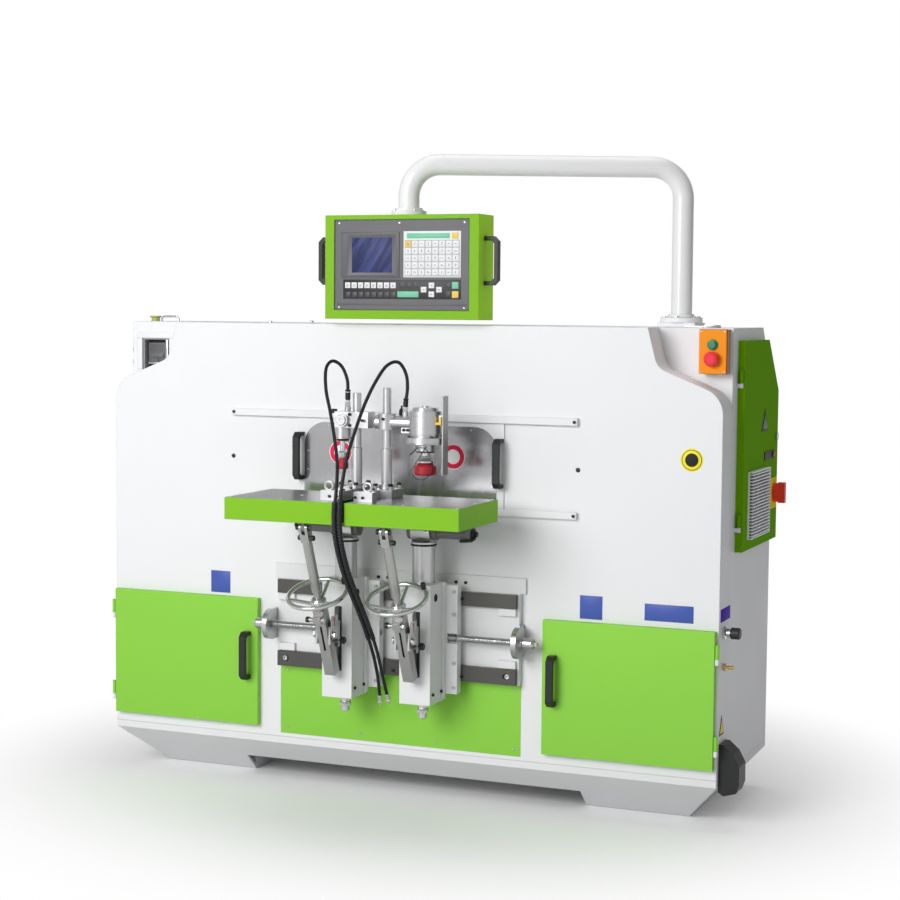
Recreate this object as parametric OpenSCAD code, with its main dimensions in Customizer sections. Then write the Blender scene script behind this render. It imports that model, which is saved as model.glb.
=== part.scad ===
// Double-station tenoning machine with a numeric control pendant on a swinging arm.
// Frame: millimetres, +X to the operator's right, +Y to the back, +Z up.
// Origin: on the floor, at the centre of the four anchor holes in the feet.

/* [Cabinet] */
// Width of the cabinet and of the front shell
body_w = 1908; // [1800:1:2200]
// Depth from the front plane to the rear panel
body_d = 575; // [560:1:680]
// Height of the cabinet's underside
belly_z = 142; // [110:1:180]
// Height of the cabinet's top
body_h = 1378; // [1370:1:1450]
// Thickness of the cabinet's sheet steel
sheet_t = 3; // [2:0.5:4]
// Depth of the front shell
shell_d = 100; // [80:1:130]
// Drop of the shoulder's outer bend below the top
shoulder_drop = 235; // [215:1:300]
// Radius of the shoulder's outer bend
shoulder_r_out = 75; // [50:1:100]
// Radius of the shoulder's inner bend
shoulder_r_in = 50; // [30:1:70]
// Length of the shoulder's flat between its bends
shoulder_run = 125; // [90:1:150]
// Depth of the flat top, up to the rear chamfer
top_d = 445; // [420:1:500]
// Height that the rear chamfer takes
chamfer_h = 170; // [120:1:220]

/* [Plinth] */
// Setback of the feet from the ends of the cabinet
foot_inset_x = 111; // [60:1:150]
// Setback of the feet from the front plane
foot_inset_y = 135; // [80:1:160]
// Half of the clear width between the feet
arch_half_w = 538; // [450:1:620]
// Height of the arch between the feet
arch_h = 54; // [40:1:70]
// Height of the plinth's upright lip
plinth_lip = 20; // [10:1:35]
// Wall of the plinth
plinth_wall = 12; // [8:1:16]
// Thickness of the cast pads in the feet
pad_h = 40; // [20:1:50]
// Spacing of the anchor holes along X
anchor_dx = 1380; // [1340:1:1440]
// Spacing of the anchor holes along Y
anchor_dy = 340; // [280:1:380]
// Diameter of the anchor holes
anchor_hole_d = 18; // [14:1:24]

/* [Doors] */
// Distance from the middle to the inner edge of a lower door
door_in_x = 452; // [440:1:500]
// Distance of a lower door's outer edge from the end of the cabinet
door_end_gap = 7; // [3:1:40]
// Height of a lower door's bottom edge
door_z0 = 173; // [165:1:200]
// Height of a lower door
door_h = 383; // [340:1:400]
// Depth of the folded doors
door_t = 20; // [14:1:30]
// Overlap of a door onto the frame round its opening
door_lap = 14; // [8:1:22]
// Radius of the hinge barrels
hinge_r = 6; // [4:0.5:8]
// Height of the side door's bottom edge
cab_z0 = 755; // [730:1:800]
// Distance of the side door's top edge below the cabinet's top
cab_top_gap = 35; // [23:1:78]
// Distance of the side door's front edge from the front plane
cab_y0 = 155; // [145:1:190]
// Distance of the side door's rear edge from the front plane
cab_y1 = 570; // [540:1:572]
// Depth taken off the side door's upper rear corner
cab_cut_y = 128; // [90:1:140]
// Height taken off the side door's upper rear corner
cab_cut_z = 150; // [100:1:180]

/* [Openings] */
// Half width of the work window
window_half_w = 280; // [240:1:295]
// Height of the work window's bottom edge
window_z0 = 905; // [890:1:930]
// Height of the work window's top edge
window_z1 = 1075; // [1040:1:1080]
// Half width of the opening behind the bed and the lower cover
bed_half_w = 383; // [370:1:395]
// Height of the bed's lower edge
bed_z0 = 362; // [340:1:375]
// Height of the bed's upper edge
bed_z1 = 622; // [615:1:650]

/* [Bed and rails] */
// Distance from the front plane to the front of the guide rails
rail_y = 35; // [30:1:36]
// Thickness of the guide rails
rail_t = 15; // [10:1:20]
// Height of the upper guide rail
rail_h_up = 42; // [34:1:50]
// Height of the lower guide rail
rail_h_low = 50; // [40:1:58]
// Height of the lead screws
lead_z = 490; // [470:1:510]
// Distance of the lead screws in front of the front plane
lead_y = 51; // [50:0.5:52]
// Diameter of the lead screws
lead_d = 20; // [14:1:22]
// Outer diameter of the lead screw bearings
lead_flange_d = 90; // [70:1:110]
// Distance from the middle to the outer end of a lead screw
lead_end_x = 440; // [430:1:442]

/* [Shield] */
// Half length of the shield's rails
shield_rail_half = 544; // [530:1:600]
// Height of the lower shield rail
shield_rail_z0 = 841; // [838:1:850]
// Height of the upper shield rail
shield_rail_z1 = 1103; // [1099:1:1120]
// Height of the section of a shield rail
shield_rail_h = 21; // [16:1:26]
// Depth of a shield rail
shield_rail_t = 12; // [11:1:15]
// Half width of the sliding shield
shield_half_w = 325; // [310:1:330]
// Half width of the bright plate on the shield
shield_plate_half_w = 303; // [280:1:306]
// Radius of the bright plate's upper corners
shield_r = 68; // [40:1:90]

/* [Stations] */
// Distance from the middle to each station's centre
station_x = 121.5; // [121:0.5:124]
// Distance of the columns in front of the front plane
column_y = 100; // [98:1:102]
// Diameter of the columns
column_d = 64; // [56:1:66]
// Half width of a housing block
block_half_w = 47; // [44:1:50]
// Distance of a housing block's front face from the front plane
block_y = 158; // [154:1:162]
// Height of a housing block's underside
block_z0 = 311; // [300:1:320]
// Height of a housing block's top
block_z1 = 651; // [640:1:660]
// Half width of a saddle plate
saddle_half_w = 90; // [84:1:92]
// Thickness of a saddle plate
saddle_t = 28; // [26:1:34]
// Width of the slot in a housing's face
slot_w = 16; // [15:1:20]
// Height of the slot's lower end
slot_z0 = 386; // [370:1:400]
// Height of the slot's upper end
slot_z1 = 576; // [570:1:590]
// Width of a table
table_w = 335; // [310:1:336]
// Depth of a table
table_d = 285; // [260:1:290]
// Distance of the tables' front edge from the front plane
table_y = 402; // [398:1:410]
// Height of the tables' top
table_z = 899; // [890:1:904]
// Clear gap between the two tables
table_gap = 32; // [30:1:40]
// Height of the skirt round a table
skirt_h = 61; // [50:1:66]
// Thickness of the table's top plate
table_t = 10; // [8:1:14]
// Height of the tilt axis
tilt_z = 796; // [792:1:800]

/* [Struts] */
// Distance of a strut's lower pivot in front of the front plane
strut_low_y = 235; // [232:1:238]
// Height of a strut's lower pivot
strut_low_z = 505; // [500:1:510]
// Distance of a strut's upper pin in front of the front plane
strut_top_y = 365; // [360:1:368]
// Height of a strut's upper pin
strut_top_z = 822; // [818:1:824]
// Side of the lower square tube
strut_tube = 32; // [28:1:34]
// Diameter of the upper tube
strut_rod_d = 27; // [24:1:29]
// Outer diameter of a hand wheel
wheel_d = 178; // [150:1:180]
// Diameter of a hand wheel's rim section
wheel_rim_d = 13; // [10:1:16]

/* [Clamps] */
// Distance from the middle to a clamp post
post_x = 46; // [42:1:52]
// Distance of the clamp posts in front of the front plane
post_y = 190; // [180:1:200]
// Diameter of a clamp post's upper stretch
post_d = 24; // [20:1:26]
// Diameter of a clamp post's lower stretch
post_base_d = 30; // [28:1:34]
// Height of the left post's top
post_z_left = 1187; // [1180:1:1200]
// Height of the right post's top
post_z_right = 1203; // [1190:1:1210]
// Distance from the middle to the left clamp's rod
clamp_x_left = 90; // [84:1:96]
// Distance from the middle to the right clamp's rod
clamp_x_right = 163; // [155:1:170]
// Diameter of the right clamp's cylinder
clamp_d_right = 90; // [80:1:94]
// Diameter of the left clamp's cylinder
clamp_d_left = 44; // [38:1:46]

/* [Pendant] */
// Distance of the arm's post from the cabinet's right end
arm_end_gap = 216; // [194:1:234]
// Distance of the arm's post from the front plane
arm_y = 340; // [320:1:350]
// Height of the arm's boom above the cabinet's top
arm_rise = 457; // [422:1:522]
// Diameter of the arm's tube
arm_d = 60; // [50:1:64]
// Radius of the arm's bends
arm_bend_r = 90; // [70:1:110]
// Place of the pendant's middle along X
pendant_x = 22; // [10:1:40]
// Distance from the front plane to the pendant's middle
pendant_y = 7; // [0:1:15]
// Width of the pendant's case
pendant_w = 476; // [440:1:500]
// Height of the pendant's case
pendant_h = 297; // [270:1:300]
// Depth of the pendant's case
pendant_d = 114; // [90:1:130]
// Gap between the cabinet's top and the pendant's underside
pendant_gap = 15; // [14:1:32]

/* [Hoses and fits] */
// Diameter of the air hoses
hose_d = 9.5; // [7:0.5:10]
// Radial clearance of shafts and columns in their bores
fit = 0.08; // [0.05:0.01:0.1]
// Gap between faces that slide past each other
slide_gap = 0.3; // [0.2:0.05:0.5]

/* [Hidden] */
$fn = 48;

green = [0.54, 0.80, 0.24];
dark_green = [0.30, 0.50, 0.10];
white = [0.93, 0.93, 0.94];
dark_grey = [0.31, 0.31, 0.32];
black = [0.08, 0.08, 0.09];
bright_steel = [0.75, 0.76, 0.78];

half_w = body_w / 2;
front_y = -(body_d + foot_inset_y) / 2;
rear_y = front_y + body_d;
eps = 0.01;
// Gap between the sheets of the cabinet, where a weld or a screw closes it
seam = 0.2;
lip_z = belly_z - plinth_lip;
door_w = half_w - door_end_gap - door_in_x;
cab_z1 = body_h - cab_top_gap;
arm_x = half_w - arm_end_gap;
arm_z = body_h + arm_rise;
pendant_z = body_h + pendant_gap;

// Points of an arc round c, from angle a0 to a1
function arc(c, r, a0, a1, n = 8) =
    [for (i = [0:n]) c + r * [cos(a0 + (a1 - a0) * i / n), sin(a0 + (a1 - a0) * i / n)]];
function mirrored(p) = [for (i = [len(p) - 1:-1:0]) [-p[i].x, p[i].y]];
function unit(v) = v / norm(v);

module box(x0, x1, y0, y1, z0, z1) {
    translate([x0, y0, z0]) cube([x1 - x0, y1 - y0, z1 - z0]);
}

// A solid of a profile drawn in X and Z, from y0 to y1
module prism_y(y0, y1) {
    translate([0, y1, 0]) rotate([90, 0, 0]) linear_extrude(y1 - y0) children();
}

// A solid of a profile drawn in Y and Z, from x0 to x1
module prism_x(x0, x1) {
    translate([x0, 0, 0]) rotate([90, 0, 90]) linear_extrude(x1 - x0) children();
}

module cyl_x(x0, x1, y, z, d) {
    translate([x0, y, z]) rotate([0, 90, 0]) cylinder(h = x1 - x0, d = d);
}

module cyl_y(y0, y1, x, z, d) {
    translate([x, y0, z]) rotate([-90, 0, 0]) cylinder(h = y1 - y0, d = d);
}

module cyl_z(z0, z1, x, y, d) {
    translate([x, y, z0]) cylinder(h = z1 - z0, d = d);
}

// A grip bent from square bar: length along Z, feet on the plane Y = 0, standing out towards -Y
module bow_grip(length, reach, bar_w, bar_t, chamfer) {
    h = length / 2;
    rotate([90, 0, 90]) translate([0, 0, -bar_w / 2]) linear_extrude(bar_w) polygon([
        [0, -h], [-reach + chamfer, -h], [-reach, -h + chamfer], [-reach, h - chamfer],
        [-reach + chamfer, h], [0, h], [0, h - bar_t], [-reach + chamfer + bar_t / 2, h - bar_t],
        [-reach + bar_t, h - chamfer - bar_t / 2], [-reach + bar_t, -h + chamfer + bar_t / 2],
        [-reach + chamfer + bar_t / 2, -h + bar_t], [0, -h + bar_t]
    ]);
}

// Plinth: a hopper-shaped ring with sloping front and ends, on two wide feet
module plinth_form(w, low, high) {
    intersection() {
        prism_y(front_y - 1, rear_y - w) polygon([
            [-half_w + foot_inset_x + w, low], [half_w - foot_inset_x - w, low],
            [half_w - foot_inset_x - w, 0], [half_w - w, lip_z], [half_w - w, high],
            [-half_w + w, high], [-half_w + w, lip_z], [-half_w + foot_inset_x + w, 0]
        ]);
        prism_x(-half_w, half_w) polygon([
            [front_y + foot_inset_y + w, low], [rear_y + 1, low], [rear_y + 1, high],
            [front_y + w, high], [front_y + w, lip_z], [front_y + foot_inset_y + w, 0]
        ]);
    }
}

module base_plinth() {
    foot_out_x = half_w - foot_inset_x;
    color(white) {
        difference() {
            plinth_form(0, 0, belly_z);
            plinth_form(plinth_wall, -1, belly_z + 1);
            box(-arch_half_w, arch_half_w, front_y - 1, rear_y + 1, -1, arch_h);
        }
        for (s = [-1, 1]) {
            difference() {
                translate([s * (arch_half_w + foot_out_x) / 2, (front_y + foot_inset_y + rear_y) / 2, 0])
                    translate([0, 0, pad_h / 2])
                        cube([foot_out_x - arch_half_w, body_d - foot_inset_y, pad_h], center = true);
                for (t = [-1, 1])
                    cyl_z(-1, pad_h + 1, s * anchor_dx / 2, t * anchor_dy / 2, anchor_hole_d);
            }
            translate([s * (arch_half_w + plinth_wall / 2), (front_y + foot_inset_y + rear_y) / 2,
                arch_h / 2])
                cube([plinth_wall, body_d - foot_inset_y, arch_h], center = true);
        }
    }
}

// Welded inner frame that carries the bed and the spindle carriage
frame_post = 60;
frame_x = 415;
frame_front_y = front_y + 80;
frame_rear_y = rear_y - 50;
frame_top_gap = 188;
frame_z1 = body_h - frame_top_gap;
beam_y = front_y + 360;
beam_z0 = 640;
beam_z1 = 760;
floor_z = belly_z + seam + sheet_t;

module frame_tube(x0, x1, y0, y1, z0, z1) {
    box(x0, x1, y0, y1, z0, z1);
}

module machine_frame() {
    p = frame_post / 2;
    post_z0 = floor_z + seam;
    color(dark_grey) {
        for (x = [-frame_x, frame_x]) {
            for (y = [frame_front_y, frame_rear_y])
                difference() {
                    box(x - p, x + p, y - p, y + p, post_z0, frame_z1);
                    box(x - p + 8, x + p - 8, y - p + 8, y + p - 8, post_z0 - 1, frame_z1 - 8);
                }
            for (z = [post_z0 + 1, beam_z0 - 20])
                box(x - p, x + p, frame_front_y + p - eps, frame_rear_y - p + eps, z, z + 40);
        }
        for (y = [frame_front_y, frame_rear_y])
            for (z = [post_z0 + 1, frame_z1 - 60])
                box(-frame_x + p - eps, frame_x - p + eps, y - p, y + p, z, z + 40);
        box(-frame_x + p - eps, frame_x - p + eps, beam_y - 50, beam_y + 50, beam_z0, beam_z1);
        for (x = [-frame_x, frame_x])
            box(x - p, x + p, beam_y - 50, beam_y + 50, beam_z0 + 10, beam_z1);
    }
}

// Ends of the cabinet: a side sheet with a narrow front return and an upper corner plate
corner_plate_w = 260;
corner_plate_z = body_h - 290;
return_w = 20;
rear_panel_z1 = body_h - chamfer_h;
lub_x = -half_w + 82;
lub_z = body_h - 101;
lub_w = 100;
lub_h = 102;
lub_depth = 110;
lub_rim = 8;

module side_profile(i) {
    polygon([
        [front_y + shell_d, belly_z + seam], [rear_y - i, belly_z + seam], [rear_y - i, rear_panel_z1 - i],
        [front_y + top_d - i, body_h - i], [front_y + shell_d, body_h - i]
    ]);
}

module cab_profile(i) {
    polygon([
        [front_y + cab_y0 + i, cab_z0 + i], [front_y + cab_y1 - i, cab_z0 + i],
        [front_y + cab_y1 - i, cab_z1 - cab_cut_z - i / 2],
        [front_y + cab_y1 - cab_cut_y - i / 2, cab_z1 - i], [front_y + cab_y0 + i, cab_z1 - i]
    ]);
}

// Line of the side door's hinges, and the fixed knuckles with their pins on it
cab_hinge_y = front_y + cab_y0 - 6;
cab_hinge_x = half_w + 12;
cab_hinge_zs = [cab_z0 + 70, cab_z1 - 117];

module side_panels() {
    color(white) {
        for (z = cab_hinge_zs) {
            cyl_z(z - 14, z - slide_gap, cab_hinge_x, cab_hinge_y, 10);
            cyl_z(z - 1, z + 34, cab_hinge_x, cab_hinge_y, 5);
            box(half_w - eps, cab_hinge_x, cab_hinge_y - 5, cab_hinge_y + 1, z - 13, z - 1);
        }
        for (s = [-1, 1]) {
            difference() {
                union() {
                    mirror([s < 0 ? 1 : 0, 0, 0]) prism_x(half_w - sheet_t, half_w) side_profile(0);
                    translate([s * (half_w - return_w / 2), front_y + shell_d + sheet_t / 2,
                        (belly_z + seam + body_h) / 2])
                        cube([return_w, sheet_t, body_h - belly_z - seam], center = true);
                    translate([s * (half_w - corner_plate_w / 2), front_y + shell_d + sheet_t / 2,
                        (corner_plate_z + body_h) / 2])
                        cube([corner_plate_w, sheet_t, body_h - corner_plate_z], center = true);
                }
                if (s > 0) prism_x(half_w - sheet_t - 1, half_w + 1) cab_profile(door_lap);
                if (s < 0) translate([lub_x, front_y + shell_d, lub_z])
                    cube([lub_w, 4 * sheet_t, lub_h], center = true);
            }
        }
    }
}

// Folded top, chamfer and rear sheet, with the dust spigot
pedestal_h = 12;
arm_flange_d = 122;
arm_flange_t = 15;
dust_d = 125;
dust_z = 420;
dust_len = 60;

module rear_cover() {
    in_x = half_w - sheet_t - seam;
    t = sheet_t;
    arm_pedestal();
    color(white) {
        difference() {
            union() {
                prism_x(-in_x, in_x) polygon([
                    [front_y + shell_d + t + seam, body_h], [front_y + top_d, body_h],
                    [rear_y, rear_panel_z1], [rear_y, belly_z + seam], [rear_y - t, belly_z + seam],
                    [rear_y - t, rear_panel_z1 - t / 2], [front_y + top_d - t / 2, body_h - t],
                    [front_y + shell_d + t + seam, body_h - t]
                ]);
                box(-half_w + corner_plate_w + seam, half_w - corner_plate_w - seam, front_y + shell_d,
                    front_y + shell_d + 2 * t, body_h - t, body_h);
                cyl_y(rear_y - eps, rear_y + dust_len, 0, dust_z, dust_d);
            }
            cyl_y(rear_y - 10, rear_y + dust_len + 1, 0, dust_z, dust_d - 5);
            cyl_z(body_h - 10, body_h + 5, lub_x - 38, front_y + shell_d + 60, 30);
        }
    }
}

// Pedestal and flange that carry the arm's post on the roof
module arm_pedestal() {
    y = front_y + arm_y;
    side = arm_flange_d - 12;
    color(white) difference() {
        union() {
            box(arm_x - side / 2, arm_x + side / 2, y - side / 2, y + side / 2, body_h + seam,
                body_h + pedestal_h);
            cyl_z(body_h + pedestal_h, body_h + pedestal_h + arm_flange_t, arm_x, y, arm_flange_d);
        }
        cyl_z(body_h, body_h + pedestal_h + arm_flange_t + 1, arm_x, y, arm_d + 2 * fit);
    }
}

// Sheets inside the cabinet: floor, chamber walls, shelves and the plate for the electrics
wall_x = 448;
shelf_z_left = 640;
shelf_z_right = 700;
plate_x = 500;

module inner_partitions() {
    t = sheet_t;
    y0 = front_y + t + seam;
    y1 = rear_y - t - seam;
    in_x = half_w - t - seam;
    wall_z0 = floor_z + seam;
    color(white) {
        box(-in_x, in_x, y0 + shell_d, y1, belly_z + seam, floor_z);
        for (s = [-1, 1])
            translate([s * (wall_x + t / 2), (y0 + y1) / 2, (wall_z0 + corner_plate_z + 100) / 2])
                cube([t, y1 - y0, corner_plate_z + 100 - wall_z0], center = true);
        box(-in_x, -wall_x - t - seam, y0 + shell_d, y1, shelf_z_left, shelf_z_left + t);
        box(wall_x + t + seam, in_x, y0 + shell_d, y1, shelf_z_right, shelf_z_right + t);
        box(plate_x, plate_x + t, y0 + 150, y1 - 40, shelf_z_right + 40, 1150);
        for (y = [y0 + 190, y1 - 80])
            for (z = [shelf_z_right + 70, 1110])
                cyl_x(wall_x + t + seam, plate_x + eps, y, z, 14);
    }
}

// Front shell: a face with S-curved shoulders and a return all round, cut for the doors and the work
shoulder_a = 22;
rise_a = 14.5;
shoulder_c1 = [half_w - shoulder_r_out, body_h - shoulder_drop];
shoulder_p = shoulder_c1 + shoulder_r_out * [sin(shoulder_a), cos(shoulder_a)]
    + shoulder_run * [-cos(shoulder_a), sin(shoulder_a)];
shoulder_c2 = shoulder_p + shoulder_r_in * [sin(shoulder_a), cos(shoulder_a)];

function shell_half(i) = let (
    e = shoulder_c2 - (shoulder_r_in + i) * [cos(rise_a), sin(rise_a)],
    top = body_h - i
) concat(
    [[half_w - i, belly_z + seam + i]],
    arc(shoulder_c1, shoulder_r_out - i, 0, 90 - shoulder_a),
    arc(shoulder_c2, shoulder_r_in + i, 270 - shoulder_a, 180 + rise_a),
    [[e.x - (top - e.y) * tan(rise_a), top]]
);

module shell_outline(i) {
    polygon(concat(shell_half(i), mirrored(shell_half(i))));
}

// Fixed half of a lift-off hinge: a knuckle with its pin, on the line of the barrels
hinge_zs = [door_z0 + 55, door_z0 + door_h - 75];
hinge_line_x = door_in_x + door_w + hinge_r + 1;
hinge_line_y = front_y - 15;
barrel_h = 40;
pin_d = 6;

module front_shell() {
    door_x1 = door_in_x + door_w;
    color(white) for (s = [-1, 1])
        for (z = hinge_zs) {
            cyl_z(z - 16, z - slide_gap, s * hinge_line_x, hinge_line_y, 2 * hinge_r);
            cyl_z(z - 1, z + barrel_h - 2, s * hinge_line_x, hinge_line_y, pin_d);
            translate([s * (hinge_line_x - hinge_r / 2), front_y - 7, z - 8])
                cube([hinge_r, 14 + 2 * eps, 14], center = true);
        }
    color(white) difference() {
        prism_y(front_y, front_y + shell_d - seam) shell_outline(0);
        prism_y(front_y + sheet_t, front_y + shell_d + 1) shell_outline(sheet_t);
        box(-window_half_w, window_half_w, front_y - 1, front_y + shell_d, window_z0, window_z1);
        box(-bed_half_w, bed_half_w, front_y - 1, front_y + 10, belly_z + 12, bed_z1 + seam);
        for (s = [-1, 1])
            translate([s * (door_in_x + door_x1) / 2, front_y, door_z0 + door_h / 2])
                cube([door_w - 2 * door_lap, 20, door_h - 2 * door_lap], center = true);
    }
}

module lower_front_cover() {
    color(green) box(-bed_half_w + seam, bed_half_w - seam, front_y, front_y + sheet_t,
        belly_z + 12 + seam, bed_z0 - seam);
}

// Cast bed: a ribbed plate with end blocks, a ledge on top and pads under the rails
bed_face_y = front_y - rail_y + rail_t;
bed_back_y = frame_front_y - frame_post / 2;

module slide_bed() {
    x1 = bed_half_w - seam;
    color(white) {
        box(-x1, x1, bed_face_y, front_y + 8, bed_z0, bed_z1);
        for (x = [-x1, -200, -20, 160, x1 - 40])
            box(x, x + 40, front_y + 8 - eps, bed_back_y, bed_z0, bed_z1);
        box(-x1 - 14, x1 + 14, front_y - 8, front_y - seam, bed_z1 - eps, bed_z1 + 45);
        for (s = [-1, 1])
            for (z = [bed_z0 + rail_h_low + 9, bed_z1 - rail_h_up - 9])
                translate([s * (x1 - 34), bed_face_y - 5, z]) cube([52, 10 + eps, 22], center = true);
    }
}

module guide_rails() {
    x1 = bed_half_w - 6;
    color(dark_grey) {
        difference() {
            union() {
                box(-x1, x1, front_y - rail_y, bed_face_y - seam, bed_z0 + 2, bed_z0 + 2 + rail_h_low - 5);
                box(-x1, x1, front_y - rail_y, bed_face_y - seam, bed_z1 - rail_h_up + 2, bed_z1);
            }
            for (s = [-1, 1])
                cyl_y(front_y - rail_y - 1, front_y - rail_y + 7, s * (x1 - 30), bed_z0 + 26, 17);
        }
    }
}

module shield_rails() {
    color(white) for (z = [shield_rail_z0, shield_rail_z1])
        difference() {
            box(-shield_rail_half, shield_rail_half, front_y - shield_rail_t, front_y - seam,
                z, z + shield_rail_h);
            z_in = z == shield_rail_z0 ? z + shield_rail_h - 6 : z - 1;
            box(-shield_rail_half - 1, shield_rail_half + 1, front_y - 8, front_y + 1, z_in, z_in + 7);
        }
}

// Sliding shield: a sheet that runs in the rails' grooves and carries a bright plate
shield_y = front_y - 4.5;

module shield_plate() {
    t = 2.5;
    z0 = shield_rail_z0 + shield_rail_h - 6 + slide_gap;
    z1 = shield_rail_z1 + 6 - slide_gap;
    color(bright_steel) {
        box(-shield_half_w, shield_half_w, shield_y, shield_y + t, z0, z1);
        prism_y(shield_y - t, shield_y + eps) polygon(concat(
            [[shield_plate_half_w, shield_rail_z0 + shield_rail_h + 2]],
            arc([shield_plate_half_w - shield_r, shield_rail_z1 - 12 - shield_r], shield_r, 0, 90),
            arc([-shield_plate_half_w + shield_r, shield_rail_z1 - 12 - shield_r], shield_r, 90, 180),
            [[-shield_plate_half_w, shield_rail_z0 + shield_rail_h + 2]]
        ));
    }
}

shield_grip_z = 990;

module shield_handles() {
    color(black) for (s = [-1, 1])
        translate([s * (shield_half_w - 11), shield_y - seam, shield_grip_z]) bow_grip(140, 40, 20, 11, 14);
}

// Oil unit of the one-shot lubrication, behind its window, with its filler on the roof
module lubricator() {
    y0 = front_y + shell_d + sheet_t + seam;
    color(dark_grey) {
        difference() {
            box(lub_x - lub_w / 2 - lub_rim, lub_x + lub_w / 2 + lub_rim, y0, y0 + lub_depth,
                lub_z - lub_h / 2 - lub_rim,
                body_h - sheet_t - slide_gap);
            box(lub_x - lub_w / 2 + 6, lub_x + lub_w / 2 - 6, y0 - 1, y0 + 40,
                lub_z - lub_h / 2 + 6, lub_z + lub_h / 2 - 6);
        }
        cyl_z(body_h - 10, body_h + 12, lub_x - 38, front_y + shell_d + 60, 26);
        cyl_z(body_h + 12 - eps, body_h + 17, lub_x - 38, front_y + shell_d + 60, 34);
    }
}

// Button box on the right corner plate
btn_x = half_w - 47;
btn_z = body_h - 64;
btn_w = 76;
btn_h = 121;
btn_d = 45;
start_z = btn_z + 19;
stop_z = btn_z - 20;
btn_stem_d = 22;
btn_face_y = front_y + shell_d - btn_d;

module button_box() {
    color([0.93, 0.47, 0.10]) difference() {
        box(btn_x - btn_w / 2, btn_x + btn_w / 2, btn_face_y, front_y + shell_d - seam,
            btn_z - btn_h / 2, btn_z + btn_h / 2);
        for (z = [start_z, stop_z])
            cyl_y(btn_face_y - 1, btn_face_y + 26, btn_x, z, btn_stem_d + 2 * fit);
    }
}

module start_button() {
    color([0.05, 0.60, 0.35]) {
        cyl_y(btn_face_y - 8, btn_face_y + 18, btn_x, start_z, btn_stem_d);
        cyl_y(btn_face_y - 10, btn_face_y - 8 + eps, btn_x, start_z, btn_stem_d - 3);
    }
}

module stop_button() {
    color([0.85, 0.15, 0.15]) {
        cyl_y(btn_face_y - 14, btn_face_y + 14, btn_x, stop_z, btn_stem_d);
        translate([btn_x, btn_face_y - 24, stop_z]) rotate([-90, 0, 0])
            rotate_extrude($fn = 48)
                polygon([[0, 0], [12, 0], [18, 3], [21, 8], [21, 12], [17, 14], [0, 14]]);
    }
}

// Air regulator on the right end, with its knob, and the barbed air inlet below it
reg_y = front_y + 50;
reg_z = 545;
inlet_z = 450;
inlet_d = 10;

module air_regulator() {
    color(bright_steel) {
        translate([half_w + seam, reg_y, reg_z]) rotate([0, 90, 0])
            rotate_extrude($fn = 48) polygon([
                [0, 0], [17, 0], [17, 6], [12, 9], [12, 20], [16, 22], [16, 44], [13, 47], [0, 47]
            ]);
        translate([half_w + seam, reg_y, inlet_z]) rotate([0, 90, 0]) cylinder(h = 10, d = 20, $fn = 6);
        cyl_x(half_w + seam + 10 - eps, half_w + seam + 30, reg_y, inlet_z, inlet_d);
    }
}

// Heavy plug socket low on the right end, with a sloping hood
module power_socket() {
    x0 = half_w + seam;
    color(black) difference() {
        prism_y(front_y + 18, front_y + 92) polygon([
            [x0, 108], [x0 + 14, 98], [x0 + 50, 108], [x0 + 58, 130], [x0 + 58, 182],
            [x0 + 40, 216], [x0 + 12, 240], [x0, 240]
        ]);
        translate([x0 + 32, front_y + 55, 104]) rotate([0, 20, 0]) cylinder(h = 24, d = 44, center = true);
    }
}

// Lower door: a folded tray on hinge barrels
module door_leaf(s) {
    x_out = s * (door_in_x + door_w);
    x_in = s * door_in_x;
    t = 2;
    difference() {
        translate([(x_in + x_out) / 2, front_y - door_t / 2, door_z0 + door_h / 2])
            cube([door_w, door_t, door_h], center = true);
        translate([(x_in + x_out) / 2, front_y - door_t / 2 + t, door_z0 + door_h / 2])
            cube([door_w - 2 * t, door_t, door_h - 2 * t], center = true);
    }
    for (z = hinge_zs)
        difference() {
            union() {
                cyl_z(z, z + barrel_h, s * hinge_line_x, hinge_line_y, 2 * hinge_r);
                translate([(x_out + s * hinge_line_x) / 2, hinge_line_y + 2, z + barrel_h / 2])
                    cube([hinge_r + 2, 6, barrel_h], center = true);
            }
            cyl_z(z - 1, z + barrel_h - 1, s * hinge_line_x, hinge_line_y, pin_d + 2 * fit);
        }
}

door_grip_dx = 33;
door_grip_len = 144;

module left_door() {
    color(green) door_leaf(-1);
}

module right_door() {
    color(green) door_leaf(1);
}

module door_handle(s) {
    z = door_z0 + door_h / 2 + (s < 0 ? 20 : 22);
    color(black) translate([s * (door_in_x + door_grip_dx), front_y - door_t - seam, z])
        bow_grip(door_grip_len, 38, 20, 12, 14);
}

module left_door_handle() {
    door_handle(-1);
}

module right_door_handle() {
    door_handle(1);
}

// Side door of the electrical cabinet, a folded tray on two hinge barrels at its front edge
vent_y0 = front_y + 210;
vent_y1 = front_y + 428;
vent_z0 = 785;
vent_z1 = 975;
vent_slats = 16;
switch_y = front_y + 520;
switch_z = 893;
latch_y = front_y + 547;
latch_z = 1057;

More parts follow.
